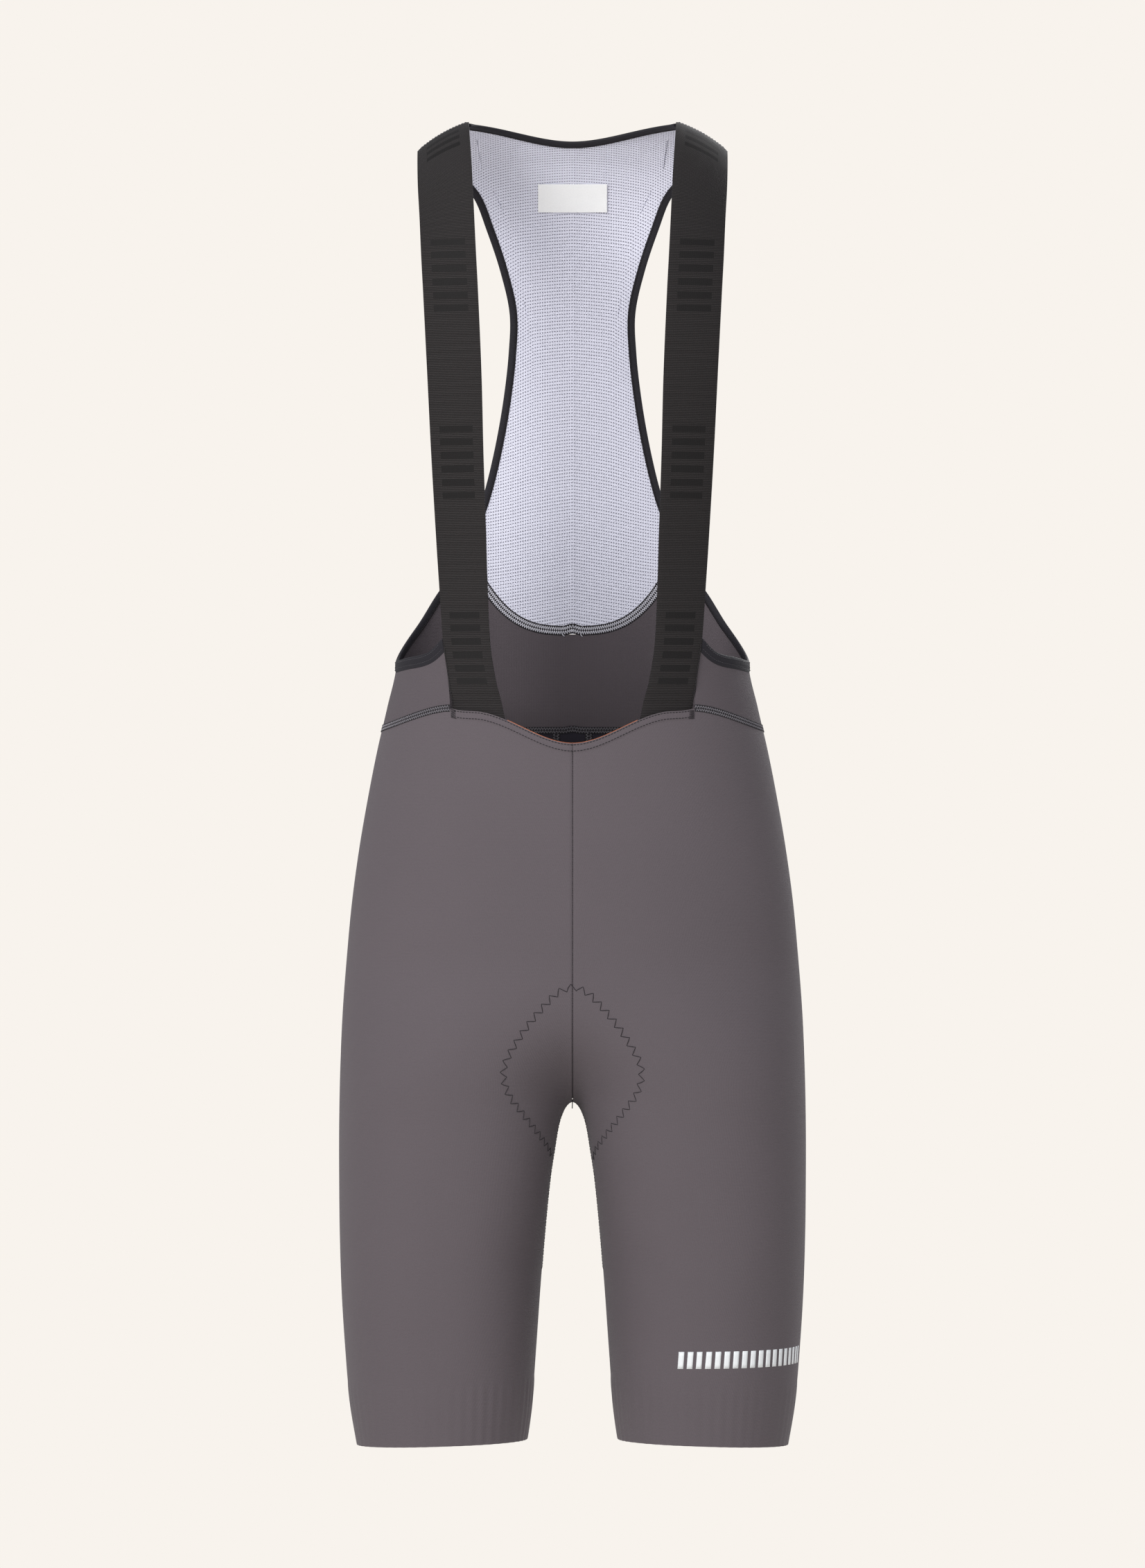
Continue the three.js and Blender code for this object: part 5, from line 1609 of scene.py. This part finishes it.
class BIB_OT_topstitching(SewingOperator, bpy.types.Operator):
    """Rows of stitches along the neckline hem, the straps and the bindings."""
    bl_idname = "bib.topstitching"
    bl_label = "Topstitching"

    def build(self):
        x = np.linspace(-84.5, 84.5, 300)
        rise = HEM_FOLD["rise"]
        sewing = Sewing()
        for below in (1.2, 5.6):
            at, out = neckline_point(x, below)
            sewing.row(SewingLine(at, out, rise), 0, DARK, *NECKLINE_ROW)
        for side in (-1, 1):
            corner = side * np.array([82.4, 86.6])
            for below in np.arange(1.0, 7.4, 0.8):
                at, out = neckline_point(np.linspace(*corner, 5), below)
                line = SewingLine(at, out, rise - 0.1)
                sewing.stitches(line, 0.1, line.length - 0.1, 0.0, 0.5, DARK, 0.2, 0.3)
        self.sewn("neckline_stitches", sewing)

        strap_at, strap_out, _ = strap_grid()
        z = strap_at[:, -2, 2]
        low = (z < -374) & (z > -423)
        for name, side in self.sides:
            sewing = Sewing()
            line = SewingLine(strap_at[low, -2], strap_out[low, -2], 0.02)
            sewing.row(line, -1.4, DARK, *STRAP_ROW)
            self.sewn(f"strap_stitches_{name}", sewing, side, "webbing")

            sewing = Sewing()
            start = band_start(1, 0)
            for depth, lift in ((0.24, 0.9), (0.74, 0.58)):
                line = bound_line(ARMHOLE, ARMHOLE_HAND, band_width, depth, start, SIDE_SHARE, lift)
                sewing.row(line, 0, DIM, *BINDING_ROW)
            self.binding_teeth(sewing, ARMHOLE, ARMHOLE_HAND, band_width, SIDE_SHARE)
            self.sewn(f"armhole_stitches_{name}", sewing, side)

        x = np.linspace(STRAP["inner"](0) + 1, STRAP["outer"](0) - 1, 60)
        at, out = shoulder_point(x, turn_from_depth(x, np.full_like(x, SHOULDER_SEAM + SEAM)))
        for name, side in self.sides:
            sewing = Sewing()
            sewing.tape(SewingLine(at, out, -0.3), 1.2, TAPE, 0.75, steps=1)
            for offset, lift in ((0.9, 1.7), (3.4, 1.4)):
                sewing.row(SewingLine(at, out, lift), offset, GREY, *SHOULDER_ROW)
            self.sewn(f"shoulder_stitches_{name}", sewing, side, "webbing")

        sewing = Sewing()
        self.binding_teeth(sewing, NECK, NECK_HAND, neck_width, 0.005)
        self.sewn("neck_stitches", sewing)


class BIB_OT_pad_stitching(SewingOperator, bpy.types.Operator):
    """The zigzag that sews the seat pad in, seen on the outside."""
    bl_idname = "bib.pad_stitching"
    bl_label = "Pad stitching"

    def build(self):
        for name, outline, facing, top in (
                ("front", PAD_FRONT, -1, -621), ("back", PAD_BACK, 1, -591)):
            sewing = Sewing()
            sewing.zigzag(pad_outline(outline, facing, top), DARK, *PAD_ZIGZAG)
            if facing < 0:
                at, out = body_point(np.zeros(2), np.array([CROTCH + 3, CROTCH + 2.5]), -1)
                drop = np.linspace(0, 6.5, 6)[:, None]
                at = at[:1] + drop * np.array([0.06, -0.05, -1]) + 0.3 * out[:1]
                end = SewingLine(at, np.broadcast_to(out[:1], at.shape))
                sewing.stitches(end, 0.0, end.length, 0.0, 0.6, DARK, 0.34, 0.1)
            self.sewn(f"pad_zigzag_{name}", sewing, slot="main_knit")


DASHES = {"height": 12.2, "pitch": 6.6, "wide": 4.1, "slant": 2.6, "count": 18, "z": -887.0,
          "first_x": 74.0, "rise": 0.008, "lift": 0.1, "thickness": 0.15}


class BIB_OT_reflective_dashes(GarmentOperator, bpy.types.Operator):
    """A plain row of slanting reflective dashes round the outside of one leg."""
    bl_idname = "bib.reflective_dashes"
    bl_label = "Reflective dashes"

    def build(self):
        middle = np.array([DASHES["z"]])
        length, _ = section_sizes(middle)
        first_x = np.array([DASHES["first_x"]])
        start = (length - distance_from_back(middle, first_x, -np.ones(1))[0])[0]
        v = np.linspace(0, 1, 5)[:, None, None]
        u = np.linspace(0, 1, 4)[None, :, None]
        k = np.arange(DASHES["count"])[None, None, :]
        distance = start + DASHES["pitch"] * k + DASHES["wide"] * u + DASHES["slant"] * v
        z = middle[0] + DASHES["height"] * (v - 0.5) + DASHES["rise"] * (distance - start)
        at, out = section_point(z, distance)
        at, out = (np.moveaxis(a, 2, 0) for a in (at, out))
        at = at + out * DASHES["lift"]
        faces = np.concatenate([grid_faces(5, 4) + 20 * n for n in range(DASHES["count"])])
        points, ways = at.reshape(-1, 3), out.reshape(-1, 3)
        uv = np.stack([distance - start, z - middle[0] + 10], axis=-1)
        uv = np.moveaxis(uv, 2, 0).reshape(-1, 2)
        dashes = new_object("reflective_dashes", points, facing_out(points, ways, faces), uv)
        dashes.data.materials.append(FINISHES.cloth(
            "Reflective film", self.colours.reflective, roughness=0.45, wales=1500.0,
            patchiness=0.01, unevenness=0.03, bump=0.00003))
        solid = dashes.modifiers.new("Film thickness", "SOLIDIFY")
        solid.thickness = DASHES["thickness"] * MM
        solid.offset = -1
        only(dashes)
        bpy.ops.object.modifier_apply(modifier=solid.name)
        carry(dashes, "label")


# The middle of the garment, and each light's name, place, size in metres and power in watts
MIDDLE = (0, 0, -0.4765)
LIGHTS = (
    ("Key light", (-1.9, -3.0, 1.3), 1.8, 132),
    ("Fill light", (1.2, -3.6, 0.0), 2.4, 26),
    ("Back light", (1.3, 3.2, 1.2), 2.2, 66),
)


class BIB_OT_stage(GarmentOperator, bpy.types.Operator):
    """A pale floor and ground, soft studio light, and the camera."""
    bl_idname = "bib.stage"
    bl_label = "Stage"

    def build(self):
        scene = bpy.context.scene
        scene.view_settings.view_transform = "Standard"
        ground = plain(self.colours.backdrop)
        self.floor(ground)
        self.world(ground)
        middle = Vector(MIDDLE)
        for name, place, size, power in LIGHTS:
            self.lamp(name, place, middle, size, power)
        camera = bpy.data.objects.new("Camera", bpy.data.cameras.new("Camera"))
        scene.collection.objects.link(camera)
        camera.data.sensor_width = 36
        camera.data.lens = (
            camera.data.sensor_width * self.sizes.camera_distance / self.sizes.picture_height)
        camera.location = (0, -self.sizes.camera_distance, middle.z)
        camera.rotation_euler = (np.pi / 2, 0, 0)
        scene.camera = camera

    def floor(self, ground):
        bpy.ops.object.select_all(action="DESELECT")
        bpy.ops.mesh.primitive_circle_add(vertices=96, radius=2.4, fill_type="NGON",
                                          location=(0, 0, -1.35))
        floor = bpy.context.active_object
        floor.name = "Floor"
        material = bpy.data.materials.new("Pale floor")
        material.use_nodes = True
        nodes = Nodes(material.node_tree)
        shader = nodes.add("ShaderNodeBsdfPrincipled", {
            "Base Color": plain((128, 126, 123)), "Roughness": 0.95, "Specular IOR Level": 0.0,
            "Emission Color": ground, "Emission Strength": 0.72})
        out = nodes.add("ShaderNodeOutputMaterial")
        nodes.feed(out.inputs[0], shader.outputs[0])
        floor.data.materials.append(material)

    def world(self, ground):
        world = bpy.data.worlds.new("Pale ground")
        world.use_nodes = True
        nodes = Nodes(world.node_tree)
        seen = nodes.add("ShaderNodeBackground", {"Color": ground, "Strength": 1.0})
        lit = nodes.add("ShaderNodeBackground", {"Color": plain((246, 247, 252)),
                                                 "Strength": 0.62})
        ray = nodes.add("ShaderNodeLightPath").outputs["Is Camera Ray"]
        both = nodes.add("ShaderNodeMixShader", {0: ray, 1: lit.outputs[0], 2: seen.outputs[0]})
        out = nodes.add("ShaderNodeOutputWorld")
        nodes.feed(out.inputs[0], both.outputs[0])
        bpy.context.scene.world = world

    def lamp(self, name, place, target, size, power):
        light = bpy.data.lights.new(name, "AREA")
        light.size, light.energy = size, power
        lamp = bpy.data.objects.new(name, light)
        lamp.location = place
        lamp.rotation_euler = (target - Vector(place)).to_track_quat("-Z", "Y").to_euler()
        bpy.context.scene.collection.objects.link(lamp)


class BIB_PT_panel(bpy.types.Panel):
    """Every step of the garment, in order."""
    bl_idname = "BIB_PT_panel"
    bl_label = "Bib shorts"
    bl_space_type = "VIEW_3D"
    bl_region_type = "UI"
    bl_category = "Bib shorts"

    def draw(self, context):
        for group_name in ("bib_shorts_sizes", "bib_shorts_colours"):
            settings = getattr(context.scene, group_name)
            for key in settings.__annotations__:
                self.layout.prop(settings, key)
        for step in STEPS:
            self.layout.operator(step.bl_idname)


STEPS = (
    BIB_OT_stage, BIB_OT_leg_panels, BIB_OT_seat_strip, BIB_OT_back_yoke, BIB_OT_mesh_back,
    BIB_OT_straps, BIB_OT_bindings, BIB_OT_facing_and_label, BIB_OT_seat_pad, BIB_OT_seams,
    BIB_OT_topstitching, BIB_OT_pad_stitching, BIB_OT_reflective_dashes,
)
CLASSES = (BibShortsSizes, BibShortsColours, *STEPS, BIB_PT_panel)


def register():
    for cls in CLASSES:
        bpy.utils.register_class(cls)
    bpy.types.Scene.bib_shorts_sizes = bpy.props.PointerProperty(type=BibShortsSizes)
    bpy.types.Scene.bib_shorts_colours = bpy.props.PointerProperty(type=BibShortsColours)


def unregister():
    del bpy.types.Scene.bib_shorts_sizes
    del bpy.types.Scene.bib_shorts_colours
    for cls in reversed(CLASSES):
        bpy.utils.unregister_class(cls)


def main():
    register()
    for step in STEPS:
        getattr(bpy.ops.bib, step.bl_idname.split(".")[1])()


if __name__ == "__main__":
    main()
